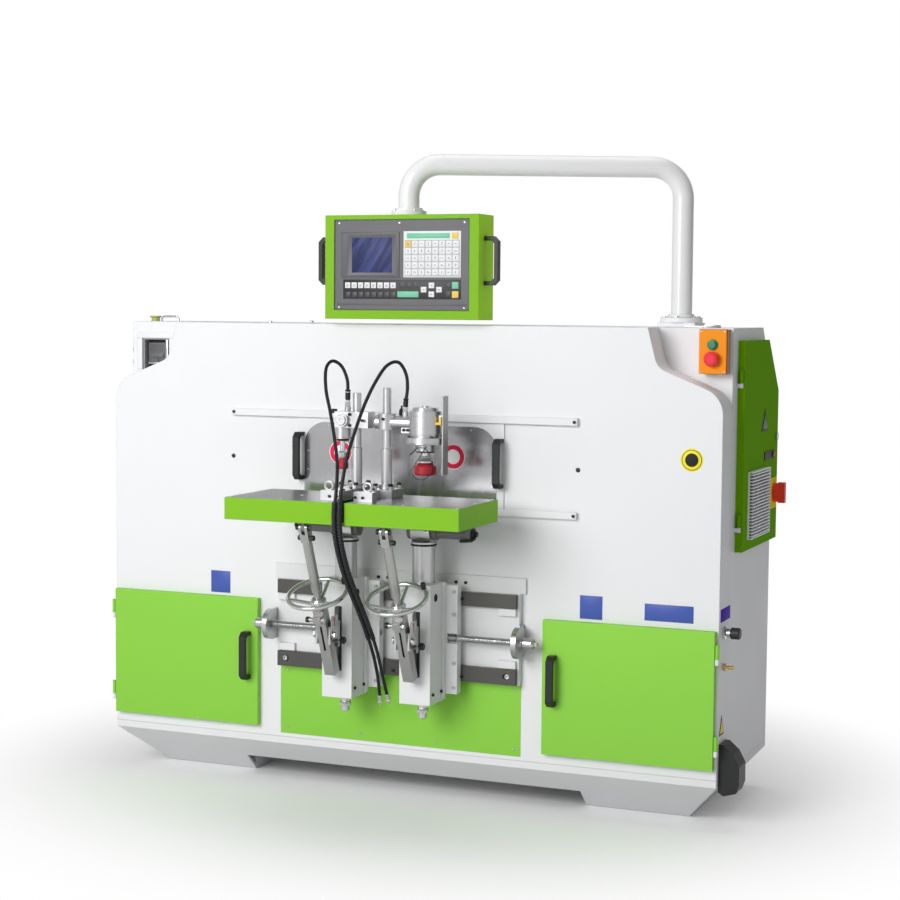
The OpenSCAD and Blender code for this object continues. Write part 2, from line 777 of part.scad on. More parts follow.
module cabinet_door() {
    x0 = half_w + seam;
    color(dark_green) {
        difference() {
            union() {
                difference() {
                    prism_x(x0, x0 + door_t) cab_profile(0);
                    prism_x(x0 - 1, x0 + door_t - 2) cab_profile(2);
                }
                box(x0 + door_t - 1, x0 + door_t + 3, switch_y - 37, switch_y + 37, switch_z - 46,
                    switch_z + 44);
            }
            box(x0, x0 + 30, vent_y0 + 10, vent_y1 - 10, vent_z0 + 10, vent_z1 - 10);
            cyl_x(x0, x0 + 30, switch_y, switch_z, 12 + 2 * fit);
            cyl_x(x0, x0 + 30, latch_y, latch_z, 12 + 2 * fit);
        }
        for (z = cab_hinge_zs)
            difference() {
                union() {
                    cyl_z(z, z + 36, cab_hinge_x, cab_hinge_y, 10);
                    box(cab_hinge_x - 2, cab_hinge_x + 4, cab_hinge_y, cab_hinge_y + 7, z, z + 36);
                }
                cyl_z(z - 1, z + 35, cab_hinge_x, cab_hinge_y, 5 + 2 * fit);
            }
    }
}

// Louvred cover over the cabinet's fan
module vent_cover() {
    x0 = half_w + seam + door_t + seam;
    pitch = (vent_z1 - vent_z0 - 16) / vent_slats;
    color(white) difference() {
        prism_y(vent_y0, vent_y1) polygon([
            [x0, vent_z0], [x0 + 16, vent_z0 + 5], [x0 + 16, vent_z1 - 5], [x0, vent_z1]
        ]);
        box(x0 - 1, x0 + 9, vent_y0 + 8, vent_y1 - 8, vent_z0 + 8, vent_z1 - 8);
        for (i = [0:vent_slats - 1])
            translate([x0 + 13, (vent_y0 + vent_y1) / 2, vent_z0 + 8 + (i + 0.5) * pitch])
                cube([14, vent_y1 - vent_y0 - 30, pitch * 0.45], center = true);
    }
}

module main_switch() {
    x0 = half_w + seam + door_t + 3 + seam;
    color([0.85, 0.15, 0.12]) {
        cyl_x(x0 - 22, x0 + 4, switch_y, switch_z, 12);
        cyl_x(x0, x0 + 14, switch_y, switch_z, 56);
        box(x0 + 14 - eps, x0 + 34, switch_y - 10, switch_y + 10, switch_z - 30, switch_z + 30);
    }
}

module door_latch() {
    x0 = half_w + seam + door_t + seam;
    color(bright_steel) {
        cyl_x(half_w - 13, x0 + 2, latch_y, latch_z, 12);
        cyl_x(x0, x0 + 6, latch_y, latch_z, 22);
        box(half_w - 13, half_w - 9, latch_y - 7, latch_y + 7, latch_z - 22, latch_z + 7);
    }
}

// Tubular arm: post, bend, boom, bend and stub, turning in the pedestal's bore
stub = [pendant_x, front_y + pendant_y];
post_xy = [arm_x, front_y + arm_y];
arm_len = norm(stub - post_xy);
arm_dir = atan2(stub.y - post_xy.y, stub.x - post_xy.x);
pendant_z1 = pendant_z + pendant_h;
stub_flange_t = 12;

module tube_bend() {
    rotate([90, 0, 0]) rotate_extrude(angle = 90, $fn = 48)
        translate([arm_bend_r, 0]) circle(d = arm_d);
}

module swing_arm() {
    r = arm_bend_r;
    z_bend = arm_z - r;
    color(white) translate([arm_x, front_y + arm_y, 0]) rotate([0, 0, arm_dir]) {
        cyl_z(body_h + 2, z_bend, 0, 0, arm_d);
        translate([r, 0, z_bend]) rotate([0, 0, 180]) tube_bend();
        cyl_x(r, arm_len - r, 0, arm_z, arm_d);
        translate([arm_len - r, 0, z_bend]) tube_bend();
        cyl_z(pendant_z1 - 8, z_bend, arm_len, 0, arm_d);
        cyl_z(pendant_z1 - 16, pendant_z1 - 8, arm_len, 0, arm_d + 16);
        cyl_z(body_h + pedestal_h + arm_flange_t + slide_gap, body_h + pedestal_h + arm_flange_t + 10,
            0, 0, arm_d + 14);
        cyl_z(pendant_z1 + slide_gap + stub_flange_t, pendant_z1 + slide_gap + stub_flange_t + 8,
            arm_len, 0, arm_d + 20);
    }
}

// Control pendant: a deep box with a recessed face, swivelling on the arm's stub
panel_w = 417;
panel_h = 256;
panel_recess = 8;
pendant_x0 = pendant_x - pendant_w / 2;
pendant_x1 = pendant_x + pendant_w / 2;
pendant_y0 = front_y + pendant_y - pendant_d / 2;
pendant_y1 = front_y + pendant_y + pendant_d / 2;
panel_z = pendant_z + 27 + panel_h / 2;
pendant_grip_z = 167;
pendant_grip_len = 138;
pendant_grip_reach = 42;

module pendant_case() {
    t = 3;
    color(green) {
        difference() {
            box(pendant_x0, pendant_x1, pendant_y0, pendant_y1, pendant_z, pendant_z1);
            box(pendant_x - panel_w / 2, pendant_x + panel_w / 2, pendant_y0 - 1,
                pendant_y0 + panel_recess + 3,
                panel_z - panel_h / 2, panel_z + panel_h / 2);
            box(pendant_x0 + t, pendant_x1 - t, pendant_y0 + panel_recess + 2, pendant_y1 - t,
                pendant_z + t, pendant_z1 - t);
            cyl_z(pendant_z1 - 5, pendant_z1 + 5, pendant_x, front_y + pendant_y, arm_d + 2 * fit);
        }
        difference() {
            cyl_z(pendant_z1 - eps, pendant_z1 + stub_flange_t, pendant_x, front_y + pendant_y, arm_d + 40);
            cyl_z(pendant_z1 - 10, pendant_z1 + 50, pendant_x, front_y + pendant_y, arm_d + 2 * fit);
        }
    }
}

module control_panel() {
    color(dark_grey) box(pendant_x - panel_w / 2 + seam, pendant_x + panel_w / 2 - seam,
        pendant_y0 + panel_recess - 5, pendant_y0 + panel_recess + 2 - seam,
        panel_z - panel_h / 2 + seam, panel_z + panel_h / 2 - seam);
}

module pendant_handles() {
    color(black) for (s = [-1, 1])
        translate([s > 0 ? pendant_x1 + seam : pendant_x0 - seam, front_y + pendant_y - 6,
            pendant_z + pendant_grip_z])
            rotate([0, 0, s * 90]) bow_grip(pendant_grip_len, pendant_grip_reach, 20, 12, 14);
}

// Lead screw of one station, turned from its outer end, and the bearings that hold both screws
lead_in_x = 62;
bearing_t = 16;

module lead_screw(s) {
    y = front_y - lead_y;
    color(bright_steel) mirror([s < 0 ? 1 : 0, 0, 0]) {
        cyl_x(lead_in_x, lead_end_x - 24, y, lead_z, lead_d);
        cyl_x(lead_end_x - 24 - eps, lead_end_x, y, lead_z, lead_d + 14);
        translate([lead_end_x - eps, y, lead_z]) rotate([0, 90, 0]) cylinder(h = 8, d = 14, $fn = 4);
    }
}

module left_lead_screw() {
    lead_screw(-1);
}

module right_lead_screw() {
    lead_screw(1);
}

module lead_screw_bearings() {
    x0 = bed_half_w + slide_gap;
    y = front_y - lead_y;
    color(bright_steel) for (s = [-1, 1]) mirror([s < 0 ? 1 : 0, 0, 0])
        difference() {
            union() {
                intersection() {
                    cyl_x(x0, x0 + bearing_t, y, lead_z, lead_flange_d);
                    box(x0, x0 + bearing_t, y - 100, front_y - seam, lead_z - 100, lead_z + 100);
                }
                cyl_x(x0, x0 + bearing_t + 8, y, lead_z, lead_d + 18);
                box(x0, x0 + 8, y + 12, front_y - seam, lead_z - lead_flange_d / 2,
                    lead_z + lead_flange_d / 2);
            }
            cyl_x(x0 - 1, x0 + bearing_t + 9, y, lead_z, lead_d + 2 * fit);
        }
}

// Saddle of one station: a plate on the rails with the housing block that guides the column
saddle_y0 = front_y - rail_y - slide_gap - saddle_t;
saddle_y1 = front_y - rail_y - slide_gap;
saddle_z0 = 331;
saddle_z1 = 642;
housing_floor = 20;
lift_d = 20;
lift_thread_d = 16;

module saddle(s) {
    xc = s * station_x;
    yc = front_y - column_y;
    yb = front_y - block_y;
    color(white) difference() {
        union() {
            box(xc - saddle_half_w, xc + saddle_half_w, saddle_y0, saddle_y1, saddle_z0, saddle_z1);
            box(xc - block_half_w, xc + block_half_w, yb, saddle_y0 + eps, block_z0, block_z1);
            for (x = [xc - block_half_w - 8, xc + block_half_w - 10])
                box(x, x + 18, saddle_y0 - 14, saddle_y0 + eps, block_z0 + 5, block_z1);
        }
        cyl_z(block_z0 + housing_floor, block_z1 + 1, xc, yc, column_d + 2 * fit);
        cyl_z(block_z0 - 1, block_z0 + housing_floor + 1, xc, yc, lift_d + 2 * fit);
        box(xc - slot_w / 2, xc + slot_w / 2, yb - 1, yc, slot_z0 + slot_w / 2, slot_z1 - slot_w / 2);
        for (z = [slot_z0 + slot_w / 2, slot_z1 - slot_w / 2])
            cyl_y(yb - 1, yc, xc, z, slot_w);
        cyl_x(xc - saddle_half_w - 1, xc + saddle_half_w + 1, front_y - lead_y, lead_z, lead_d + 2 * fit);
        translate([xc + s * (saddle_half_w - 16), saddle_y0 + 6, lead_z]) cube([30, 14, 28], center = true);
        cyl_x(xc + block_half_w - 8, xc + block_half_w + 12, front_y - 122, 613, 16);
        cyl_x(xc - block_half_w - 12, xc - block_half_w + 8, front_y - 122, 613, 16);
    }
}

module left_saddle() {
    saddle(-1);
}

module right_saddle() {
    saddle(1);
}

// Column: a hollow post with the tilt head on top and the strut's bracket out through the slot
column_z0 = 432;
head_z0 = 766;
neck_z = 500;
ear_t = 6;

module column(s) {
    xc = s * station_x;
    yc = front_y - column_y;
    color(bright_steel) difference() {
        union() {
            cyl_z(column_z0, head_z0 + 1, xc, yc, column_d);
            cyl_z(head_z0 - 6, head_z0 + 2, xc, yc, column_d + 8);
            intersection() {
                cyl_x(xc - 29, xc + 29, yc, tilt_z, 62);
                box(xc - 30, xc + 30, yc - 40, yc + 40, head_z0, tilt_z + 40);
            }
        }
        cyl_x(xc - 40, xc + 40, yc, tilt_z, 20 + 2 * fit);
        cyl_z(column_z0 + 24, head_z0 - 16, xc, yc, column_d - 20);
        cyl_z(column_z0 - 1, column_z0 + 25, xc, yc, lift_thread_d + 2 * fit);
    }
}

// Bracket on the column that carries the strut's lower pin, through the block's slot
module strut_bracket(s) {
    xc = s * station_x;
    yc = front_y - column_y;
    ear_x = strut_tube / 2 + 1;
    plate_y = front_y - 186;
    color(bright_steel) {
        difference() {
            box(xc - slot_w / 2 + 1, xc + slot_w / 2 - 1, plate_y - eps, yc, neck_z - 15, neck_z + 15);
            cyl_z(neck_z - 16, neck_z + 16, xc, yc, column_d + 2 * seam);
        }
        box(xc - ear_x - ear_t, xc + ear_x + ear_t, plate_y - 8, plate_y, strut_low_z - 39,
            strut_low_z + 35);
        for (x = [xc - ear_x - ear_t, xc + ear_x])
            box(x, x + ear_t, front_y - strut_low_y - 14, plate_y - 8 + eps, strut_low_z - 25,
                strut_low_z + 25);
        cyl_x(xc - ear_x - ear_t - 4, xc + ear_x + ear_t + 4, front_y - strut_low_y, strut_low_z,
            12);
    }
}

module left_column() {
    strut_bracket(-1);
    column(-1);
}

module right_column() {
    strut_bracket(1);
    column(1);
}

// Elevating screw: it turns in the housing's floor, with its hexagon below
module lift_screw(s) {
    xc = s * station_x;
    yc = front_y - column_y;
    z1 = block_z0 + housing_floor;
    color(bright_steel) {
        cyl_z(block_z0 - 6 - slide_gap, z1 + 10, xc, yc, lift_d);
        cyl_z(z1 + slide_gap, z1 + 10, xc, yc, 34);
        cyl_z(z1 + 10 - eps, 600, xc, yc, lift_thread_d);
        cyl_z(block_z0 - 6 - slide_gap, block_z0 - slide_gap, xc, yc, 32);
        translate([xc, yc, block_z0 - 22]) cylinder(h = 16, d = 26, $fn = 6);
    }
}

module left_lift_screw() {
    lift_screw(-1);
}

module right_lift_screw() {
    lift_screw(1);
}

// Tilting table: a skirted tray with lugs on the tilt pin and a lug for the strut
function table_x0(s) = s < 0 ? -table_gap / 2 - table_w : table_gap / 2;
table_y0 = front_y - table_y;
table_y1 = table_y0 + table_d;
skirt_t = 3;
deck_t = 8;
deck_z = table_z - table_t - seam - deck_t;
lug_w = 44;

module table_frame(s) {
    xc = s * station_x;
    yc = front_y - column_y;
    x0 = table_x0(s);
    z0 = table_z - skirt_h;
    top_y = front_y - strut_top_y;
    out = s > 0 ? [xc + 29 + slide_gap, xc + 148] : [xc - 148, xc - 29 - slide_gap];
    inn = s > 0 ? [xc - 44, xc - 29 - slide_gap] : [xc + 29 + slide_gap, xc + 44];
    color(green) {
        difference() {
            box(x0, x0 + table_w, table_y0, table_y1, z0, table_z);
            box(x0 + skirt_t, x0 + table_w - skirt_t, table_y0 + skirt_t, table_y1 - skirt_t,
                z0 - 1, table_z + 1);
        }
        box(x0 + 1, x0 + table_w - 1, table_y0 + 1, table_y1 - 1, deck_z, deck_z + deck_t);
        for (r = [[out[0], out[0] + 14], [out[1] - 14, out[1]], inn]) {
            x = min(r[0], r[1]);
            box(x, x + 14, yc - lug_w / 2, yc + lug_w / 2, tilt_z, deck_z + 1);
            cyl_x(x, x + 14, yc, tilt_z, lug_w);
        }
        cyl_x(out[0], out[1], yc, tilt_z, 34);
        cyl_x(xc - 50, xc + 50, yc, tilt_z, 20);
        box(xc - 5, xc + 5, top_y - 12, top_y + 12, strut_top_z, deck_z + 1);
        cyl_x(xc - 5, xc + 5, top_y, strut_top_z, 24);
        cyl_x(xc - 17, xc + 17, top_y, strut_top_z, 10);
    }
}

module left_table_frame() {
    table_frame(-1);
}

module right_table_frame() {
    table_frame(1);
}

module table_top(s) {
    x0 = table_x0(s) + skirt_t + seam;
    x1 = table_x0(s) + table_w - skirt_t - seam;
    color(dark_grey) box(x0, x1, table_y0 + skirt_t + seam, table_y1 - skirt_t - seam,
        table_z - table_t, table_z);
}

module left_table_top() {
    table_top(-1);
}

module right_table_top() {
    table_top(1);
}

// Strut: a slotted square tube on the lower pivot, and a rod with a fork that the hand wheel extends
strut_v = [0, strut_low_y - strut_top_y, strut_top_z - strut_low_z];
strut_len = norm(strut_v);
strut_a = atan2(strut_top_y - strut_low_y, strut_top_z - strut_low_z);
tube_z1 = 85;
tube_z0 = -125;
hub_z0 = tube_z1 + slide_gap;
rim_z = 133;
screw_d = 20;

module on_strut(s) {
    translate([s * station_x, front_y - strut_low_y, strut_low_z]) rotate([strut_a, 0, 0]) children();
}

module strut_tube(s) {
    w = strut_tube;
    color(bright_steel) on_strut(s) {
        difference() {
            union() {
                box(-w / 2, w / 2, -w / 2, w / 2, tube_z0, tube_z1);
                box(-12, 12, -w / 2 - 16, -w / 2 + eps, 52, 72);
                cyl_x(-26, 16, -w / 2 - 9, 62, 13);
            }
            box(-w / 2 + 4, w / 2 - 4, -w / 2 + 4, w / 2 - 4, tube_z0 - 1, tube_z1 - 12);
            cyl_z(tube_z1 - 20, tube_z1 + 1, 0, 0, screw_d + 2 * fit);
            box(-3, 3, -w / 2 - 1, 0, -45, 36);
            cyl_x(-w, w, 0, 0, 12 + 2 * fit);
        }
    }
}

module left_strut_tube() {
    strut_tube(-1);
}

module right_strut_tube() {
    strut_tube(1);
}

module strut_rod(s) {
    color(bright_steel) on_strut(s) {
        cyl_z(30, 150, 0, 0, screw_d);
        cyl_z(141, strut_len - 40, 0, 0, strut_rod_d);
        difference() {
            union() {
                box(-13, 13, -13, 13, strut_len - 42, strut_len);
                cyl_x(-13, 13, 0, strut_len, 26);
                cyl_x(-16, 16, 0, strut_len - 32, 11);
            }
            box(-5 - slide_gap, 5 + slide_gap, -20, 20, strut_len - 17, strut_len + 20);
            cyl_x(-20, 20, 0, strut_len, 18);
        }
    }
}

module left_strut_rod() {
    strut_rod(-1);
}

module right_strut_rod() {
    strut_rod(1);
}

// Dished three-spoke hand wheel, the nut of the strut's screw
module hand_wheel(s) {
    rim_r = (wheel_d - wheel_rim_d) / 2;
    color(bright_steel) on_strut(s) difference() {
        union() {
            translate([0, 0, rim_z]) rotate_extrude($fn = 64) translate([rim_r, 0])
                circle(d = wheel_rim_d, $fn = 24);
            rotate_extrude($fn = 48) polygon([
                [0, hub_z0], [15, hub_z0], [15, hub_z0 + 8], [22, hub_z0 + 14], [22, hub_z0 + 28],
                [17, hub_z0 + 34], [0, hub_z0 + 34]
            ]);
            for (a = [90, 210, 330]) rotate([0, 0, a]) hull() {
                translate([18, 0, hub_z0 + 20]) sphere(d = 11, $fn = 16);
                translate([rim_r, 0, rim_z]) sphere(d = 9, $fn = 16);
            }
        }
        cyl_z(hub_z0 - 1, hub_z0 + 40, 0, 0, screw_d + 2 * fit);
    }
}

module left_hand_wheel() {
    hand_wheel(-1);
}

module right_hand_wheel() {
    hand_wheel(1);
}

// Fence bar with its front block and eye bolt, and the stepped clamp post on its bolted base
fence_h = 25;
base_h = 36;

module fence(s) {
    post_z = s < 0 ? post_z_left : post_z_right;
    y1 = front_y - post_y;
    z0 = table_z + seam;
    color([0.88, 0.88, 0.89]) mirror([s < 0 ? 1 : 0, 0, 0]) {
        box(22, 46, y1 - 160, y1 + 50, z0, z0 + fence_h - 1);
        box(22, 78, y1 - 165, y1 - 138, z0, z0 + fence_h + 2);
        box(22, 84, y1 - 50, y1 + 30, z0, z0 + base_h - 12);
        cyl_z(z0 + base_h - 13, z0 + base_h, post_x, y1, post_base_d + 14);
        cyl_z(z0 + 10, 1034, post_x, y1, post_base_d);
        cyl_z(1034 - eps, post_z, post_x, y1, post_d);
        for (p = [[30, -40], [76, -40], [76, 20], [30, 42]])
            cyl_z(z0 + base_h - 13, z0 + base_h - 3, p.x, y1 + p.y, 10);
        translate([58, y1 - 152, z0 + fence_h + 14]) rotate([90, 0, 0])
            rotate_extrude($fn = 48) translate([11.5, 0]) circle(d = 7, $fn = 24);
        cyl_z(z0 + fence_h, z0 + fence_h + 4, 58, y1 - 152, 8);
    }
}

module left_fence() {
    fence(-1);
}

module right_fence() {
    fence(1);
}

// Left clamp head: a split block on the post with a small air cylinder
rod_d = 16;
left_rod_z1 = 1118;

module left_clamp_head() {
    y = front_y - post_y;
    x = -clamp_x_left;
    color([0.86, 0.86, 0.87]) difference() {
        union() {
            box(-clamp_x_left - 16, -2, y - 22, y + 24, 1090, 1135);
            cyl_y(y - 34, y + 24, -80, 1112, 38);
            cyl_z(1058, 1100, x, y, clamp_d_left);
            cyl_z(1134, 1148, -75, y, 18);
            cyl_z(1147, 1178, -75, y, 12);
            cyl_z(1177, 1192, -75, y, 14);
            cyl_y(y - 28, y - 20, -16, 1112, 9);
        }
        cyl_z(1050, 1145, -post_x, y, post_d + 2 * fit);
        cyl_z(1050, left_rod_z1 + 4, x, y, rod_d + 2 * fit);
        box(-18, -1, y - 1, y + 1, 1080, 1140);
    }
}

// Right clamp head: a round arm through the post's hub and a large air cylinder with its flange
right_arm_z = 1108;
right_rod_z1 = 1120;

module right_clamp_head() {
    y = front_y - post_y;
    x = clamp_x_right;
    color([0.86, 0.86, 0.87]) difference() {
        union() {
            cyl_x(14, x, y, right_arm_z, 38);
            cyl_z(right_arm_z - 20, right_arm_z + 24, post_x, y, post_d + 26);
            cyl_z(1078, 1143, x, y, clamp_d_right);
            cyl_z(1052, 1070, x, y, clamp_d_right + 18);
            cyl_z(1069, 1079, x, y, clamp_d_right - 6);
            cyl_z(1032, 1053, x, y, 58);
            cyl_z(1142, 1149, x, y, clamp_d_right - 18);
            cyl_z(right_arm_z + 15, right_arm_z + 30, 102, y, 18);
            cyl_z(right_arm_z + 29, right_arm_z + 54, 102, y, 12);
            box(x + clamp_d_right / 2 - 8, x + clamp_d_right / 2 + 12, y - 10, y + 10, 1112, 1132);
            box(x + clamp_d_right / 2 + 11, x + clamp_d_right / 2 + 15, y - 18, y + 18, 967, 1185);
            box(95, 125, y - 14, y + 14, 1080, 1098);
        }
        cyl_z(1050, 1190, post_x, y, post_d + 2 * fit);
        cyl_z(1020, right_rod_z1 + 4, x, y, 24 + 2 * fit);
    }
}

// Clamp rods with their pressure feet
module left_clamp_rod() {
    y = front_y - post_y;
    x = -clamp_x_left;
    color([0.70, 0.10, 0.15]) {
        cyl_z(1000, left_rod_z1, x, y, rod_d);
        translate([x, y, 973]) rotate_extrude($fn = 48)
            polygon([[0, 0], [14, 0], [16, 3], [16, 14], [11, 24], [11, 31], [0, 31]]);
    }
}

module right_clamp_rod() {
    y = front_y - post_y;
    x = clamp_x_right;
    color([0.70, 0.10, 0.15]) {
        cyl_z(1000, right_rod_z1, x, y, 24);
        translate([x, y, 965]) rotate_extrude($fn = 48)
            polygon([[0, 0], [27, 0], [31, 4], [31, 24], [20, 32], [20, 42], [0, 42]]);
    }
}

// Air hoses. Route points from each cylinder's fitting to the loose end, measured from the front plane
left_route = [
    [-75, -190, 1193], [-77, -191, 1225], [-92, -197, 1262], [-112, -215, 1276], [-120, -238, 1254],
    [-108, -262, 1198], [-80, -292, 1138], [-48, -330, 1068], [-20, -370, 1000], [-8, -400, 935],
    [-7.5, -413, 870], [-7.5, -404, 800], [-7.5, -368, 725], [-7.5, -318, 655], [-7.5, -262, 588],
    [-7.5, -208, 520], [-7.5, -162, 452], [-7.5, -128, 382], [-7.5, -112, 320]
];
right_route = [
    [102, -190, 1163], [108, -191, 1205], [106, -198, 1245], [90, -214, 1276], [66, -240, 1266],
    [42, -268, 1216], [26, -298, 1158], [15, -330, 1092], [8, -364, 1024], [7.5, -396, 950],
    [7.5, -413, 870], [7.5, -404, 800], [7.5, -368, 725], [7.5, -318, 655], [7.5, -262, 588],
    [7.5, -208, 520], [7.5, -162, 452], [8, -128, 382], [15, -112, 325]
];
hose_sides = 8;
hose_steps = 2;

// A point of the smooth curve through the route, at u counted in stretches
function at(p, i) = p[max(0, min(len(p) - 1, i))];
function spline(p, u) = let (
    i = min(floor(u), len(p) - 2), t = u - i,
    a = i == 0 ? 2 * p[0] - p[1] : p[i - 1], b = p[i], c = p[i + 1],
    d = i == len(p) - 2 ? 2 * p[i + 1] - p[i] : p[i + 2]
) 0.5 * (2 * b + (c - a) * t + (2 * a - 5 * b + 4 * c - d) * t * t + (3 * b - a - 3 * c + d) * t * t * t);
function hose_path(p) = [for (k = [0:(len(p) - 1) * hose_steps]) spline(p, k / hose_steps)];

module hose(route, d) {
    path = hose_path(route);
    n = len(path);
    m = hose_sides;
    rings = [for (i = [0:n - 1]) let (
        t = unit(at(path, i + 1) - at(path, i - 1)),
        a = unit(cross(t, [1, 0, 0])),
        b = cross(t, a)
    ) for (k = [0:m - 1]) path[i] + d / 2 * (cos(360 * k / m) * a + sin(360 * k / m) * b)];
    walls = [for (i = [0:n - 2]) for (k = [0:m - 1]) for (h = [0, 1])
        h == 0 ? [i * m + k, (i + 1) * m + k, i * m + (k + 1) % m]
            : [i * m + (k + 1) % m, (i + 1) * m + k, (i + 1) * m + (k + 1) % m]];
    polyhedron(points = rings, faces = concat(walls, [[for (k = [0:m - 1]) k]],
        [[for (k = [m - 1:-1:0]) (n - 1) * m + k]]));
}

// Push-in fitting on a hose's loose end
module hose_end(route) {
    p = at(route, len(route) - 1);
    v = unit(p - at(route, len(route) - 2));
    translate(p + 0.2 * v) rotate([0, acos(v.z), atan2(v.y, v.x)]) {
        cylinder(h = 16, d = 13);
        translate([0, 0, 16 - eps]) cylinder(h = 7, d = 14, $fn = 6);
        translate([0, 0, 23 - 2 * eps]) cylinder(h = 8, d = 9);
    }
}

module left_hose() {
    color(black) translate([0, front_y, 0]) {
        hose(left_route, hose_d);
        hose_end(left_route);
    }
}

module right_hose() {
    color(black) translate([0, front_y, 0]) {
        hose(right_route, hose_d);
        hose_end(right_route);
    }
}

// Spindle carriage on the frame's beam, its lifting head with the motor, and the cutter
carriage_half_w = 150;
upright_y0 = beam_y - 50;
spindle_z = 985;
motor_d = 150;
spindle_d = 40;
cutter_y0 = front_y + 20;

module spindle_carriage() {
    color(dark_grey) {
        box(-carriage_half_w, carriage_half_w, upright_y0, beam_y + 50, beam_z1 + slide_gap, beam_z1 + 40);
        box(-110, 110, upright_y0, upright_y0 + 30, beam_z1 + 40 - eps, 1150);
        for (x = [-110, 95])
            box(x, x + 15, upright_y0 + 30 - eps, beam_y + 45, beam_z1 + 40 - eps, 1000);
    }
}

module spindle_head() {
    y1 = upright_y0 - slide_gap;
    color(white) difference() {
        union() {
            box(-100, 100, y1 - 25, y1, spindle_z - 110, spindle_z + 110);
            cyl_y(front_y + 80, y1 - 25 + eps, 0, spindle_z, motor_d);
            cyl_y(front_y + 55, front_y + 81, 0, spindle_z, 84);
        }
        cyl_y(front_y + 54, front_y + 150, 0, spindle_z, spindle_d + 2 * fit);
    }
}

// Tenon cutter: its spindle nose with two toothed discs
module tenon_cutter() {
    teeth = 6;
    color(bright_steel) {
        cyl_y(cutter_y0 - 8, front_y + 140, 0, spindle_z, spindle_d);
        for (y = [cutter_y0, cutter_y0 + 18])
            prism_y(y, y + 12) translate([0, spindle_z]) difference() {
                circle(r = 55);
                for (k = [0:teeth - 1]) rotate(k * 360 / teeth) translate([44, 0]) square([14, 10]);
            }
    }
}

base_plinth();
machine_frame();
side_panels();
rear_cover();
inner_partitions();
front_shell();
lower_front_cover();
slide_bed();
guide_rails();
shield_rails();
lubricator();
button_box();
lead_screw_bearings();
air_regulator();
power_socket();
left_door();
left_door_handle();
right_door();
right_door_handle();
cabinet_door();
vent_cover();
main_switch();
door_latch();
start_button();
stop_button();
swing_arm();
pendant_case();
control_panel();
pendant_handles();
shield_plate();
shield_handles();
left_lead_screw();
right_lead_screw();
left_saddle();
left_column();
left_lift_screw();
left_table_frame();
left_table_top();
left_strut_tube();
left_strut_rod();
left_hand_wheel();
left_fence();
left_clamp_head();
left_clamp_rod();
left_hose();
right_saddle();
right_column();
right_lift_screw();
right_table_frame();
right_table_top();
right_strut_tube();
right_strut_rod();
right_hand_wheel();
right_fence();
right_clamp_head();
right_clamp_rod();
right_hose();
spindle_carriage();
spindle_head();
tenon_cutter();
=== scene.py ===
import math
import random

import bmesh
import bpy
from mathutils import Matrix, Vector


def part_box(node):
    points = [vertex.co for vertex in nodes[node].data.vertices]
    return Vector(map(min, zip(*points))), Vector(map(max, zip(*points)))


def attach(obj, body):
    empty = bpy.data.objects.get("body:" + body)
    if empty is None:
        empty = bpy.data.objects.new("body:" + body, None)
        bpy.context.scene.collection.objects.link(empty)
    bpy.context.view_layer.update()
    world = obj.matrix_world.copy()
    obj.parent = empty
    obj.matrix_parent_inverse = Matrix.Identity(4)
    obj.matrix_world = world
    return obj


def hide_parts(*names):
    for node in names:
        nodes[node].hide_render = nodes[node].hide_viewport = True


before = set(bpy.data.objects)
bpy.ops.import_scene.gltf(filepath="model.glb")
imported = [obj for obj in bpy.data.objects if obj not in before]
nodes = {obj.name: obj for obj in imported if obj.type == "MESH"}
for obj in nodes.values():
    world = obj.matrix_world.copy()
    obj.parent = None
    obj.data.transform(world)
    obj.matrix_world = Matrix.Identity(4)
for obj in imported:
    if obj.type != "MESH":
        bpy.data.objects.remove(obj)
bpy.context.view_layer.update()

# Camera and studio
# The photograph is taken from the operator's right at about shoulder height, with a long lens.
# The machine stands on a pale floor that fades into a white backdrop.

CAMERA_PLACE = (2.25227, -5.41117, 1.42494)
CAMERA_TURN = 22.50      # degrees round the vertical
CAMERA_DOWN = 4.21       # degrees below the horizon
CAMERA_ROLL = 0.483      # degrees
FOCAL_LENGTH = 76.804    # mm, on a sensor 36 mm wide

camera_data = bpy.data.cameras.new("photo_camera")
camera_data.lens = FOCAL_LENGTH
camera_data.sensor_width = 36.0
camera_data.sensor_fit = "HORIZONTAL"
camera_data.clip_end = 60.0
camera = bpy.data.objects.new("photo_camera", camera_data)
camera.matrix_world = (
    Matrix.Translation(CAMERA_PLACE)
    @ Matrix.Rotation(math.radians(CAMERA_TURN), 4, "Z")
    @ Matrix.Rotation(math.radians(90 - CAMERA_DOWN), 4, "X")
    @ Matrix.Rotation(math.radians(CAMERA_ROLL), 4, "Z")
)
bpy.context.scene.collection.objects.link(camera)
bpy.context.scene.camera = camera
bpy.context.scene.view_settings.view_transform = "Standard"


def put(tree, kind, values=None, **settings):
    """A node of a tree, with settings on the node and values on its sockets."""
    made = tree.nodes.new(kind)
    for key, value in settings.items():
        setattr(made, key, value)
    for key, value in (values or {}).items():
        made.inputs[key].default_value = value
    return made


def maths(tree, operation, values=None, clamp=False):
    """A node that does one sum, with values on its sockets, kept between 0 and 1 where clamp is set."""
    return put(tree, "ShaderNodeMath", values, operation=operation, use_clamp=clamp)


def wire(tree, *links):
    """Links nodes of a tree, each link given as (node, its output, node, its input)."""
    for source, give, target, take in links:
        tree.links.new(source.outputs[give], target.inputs[take])


def new_material(name):
    """An empty material and its tree."""
    made = bpy.data.materials.new(name)
    made.use_nodes = True
    made.node_tree.nodes.clear()
    return made, made.node_tree


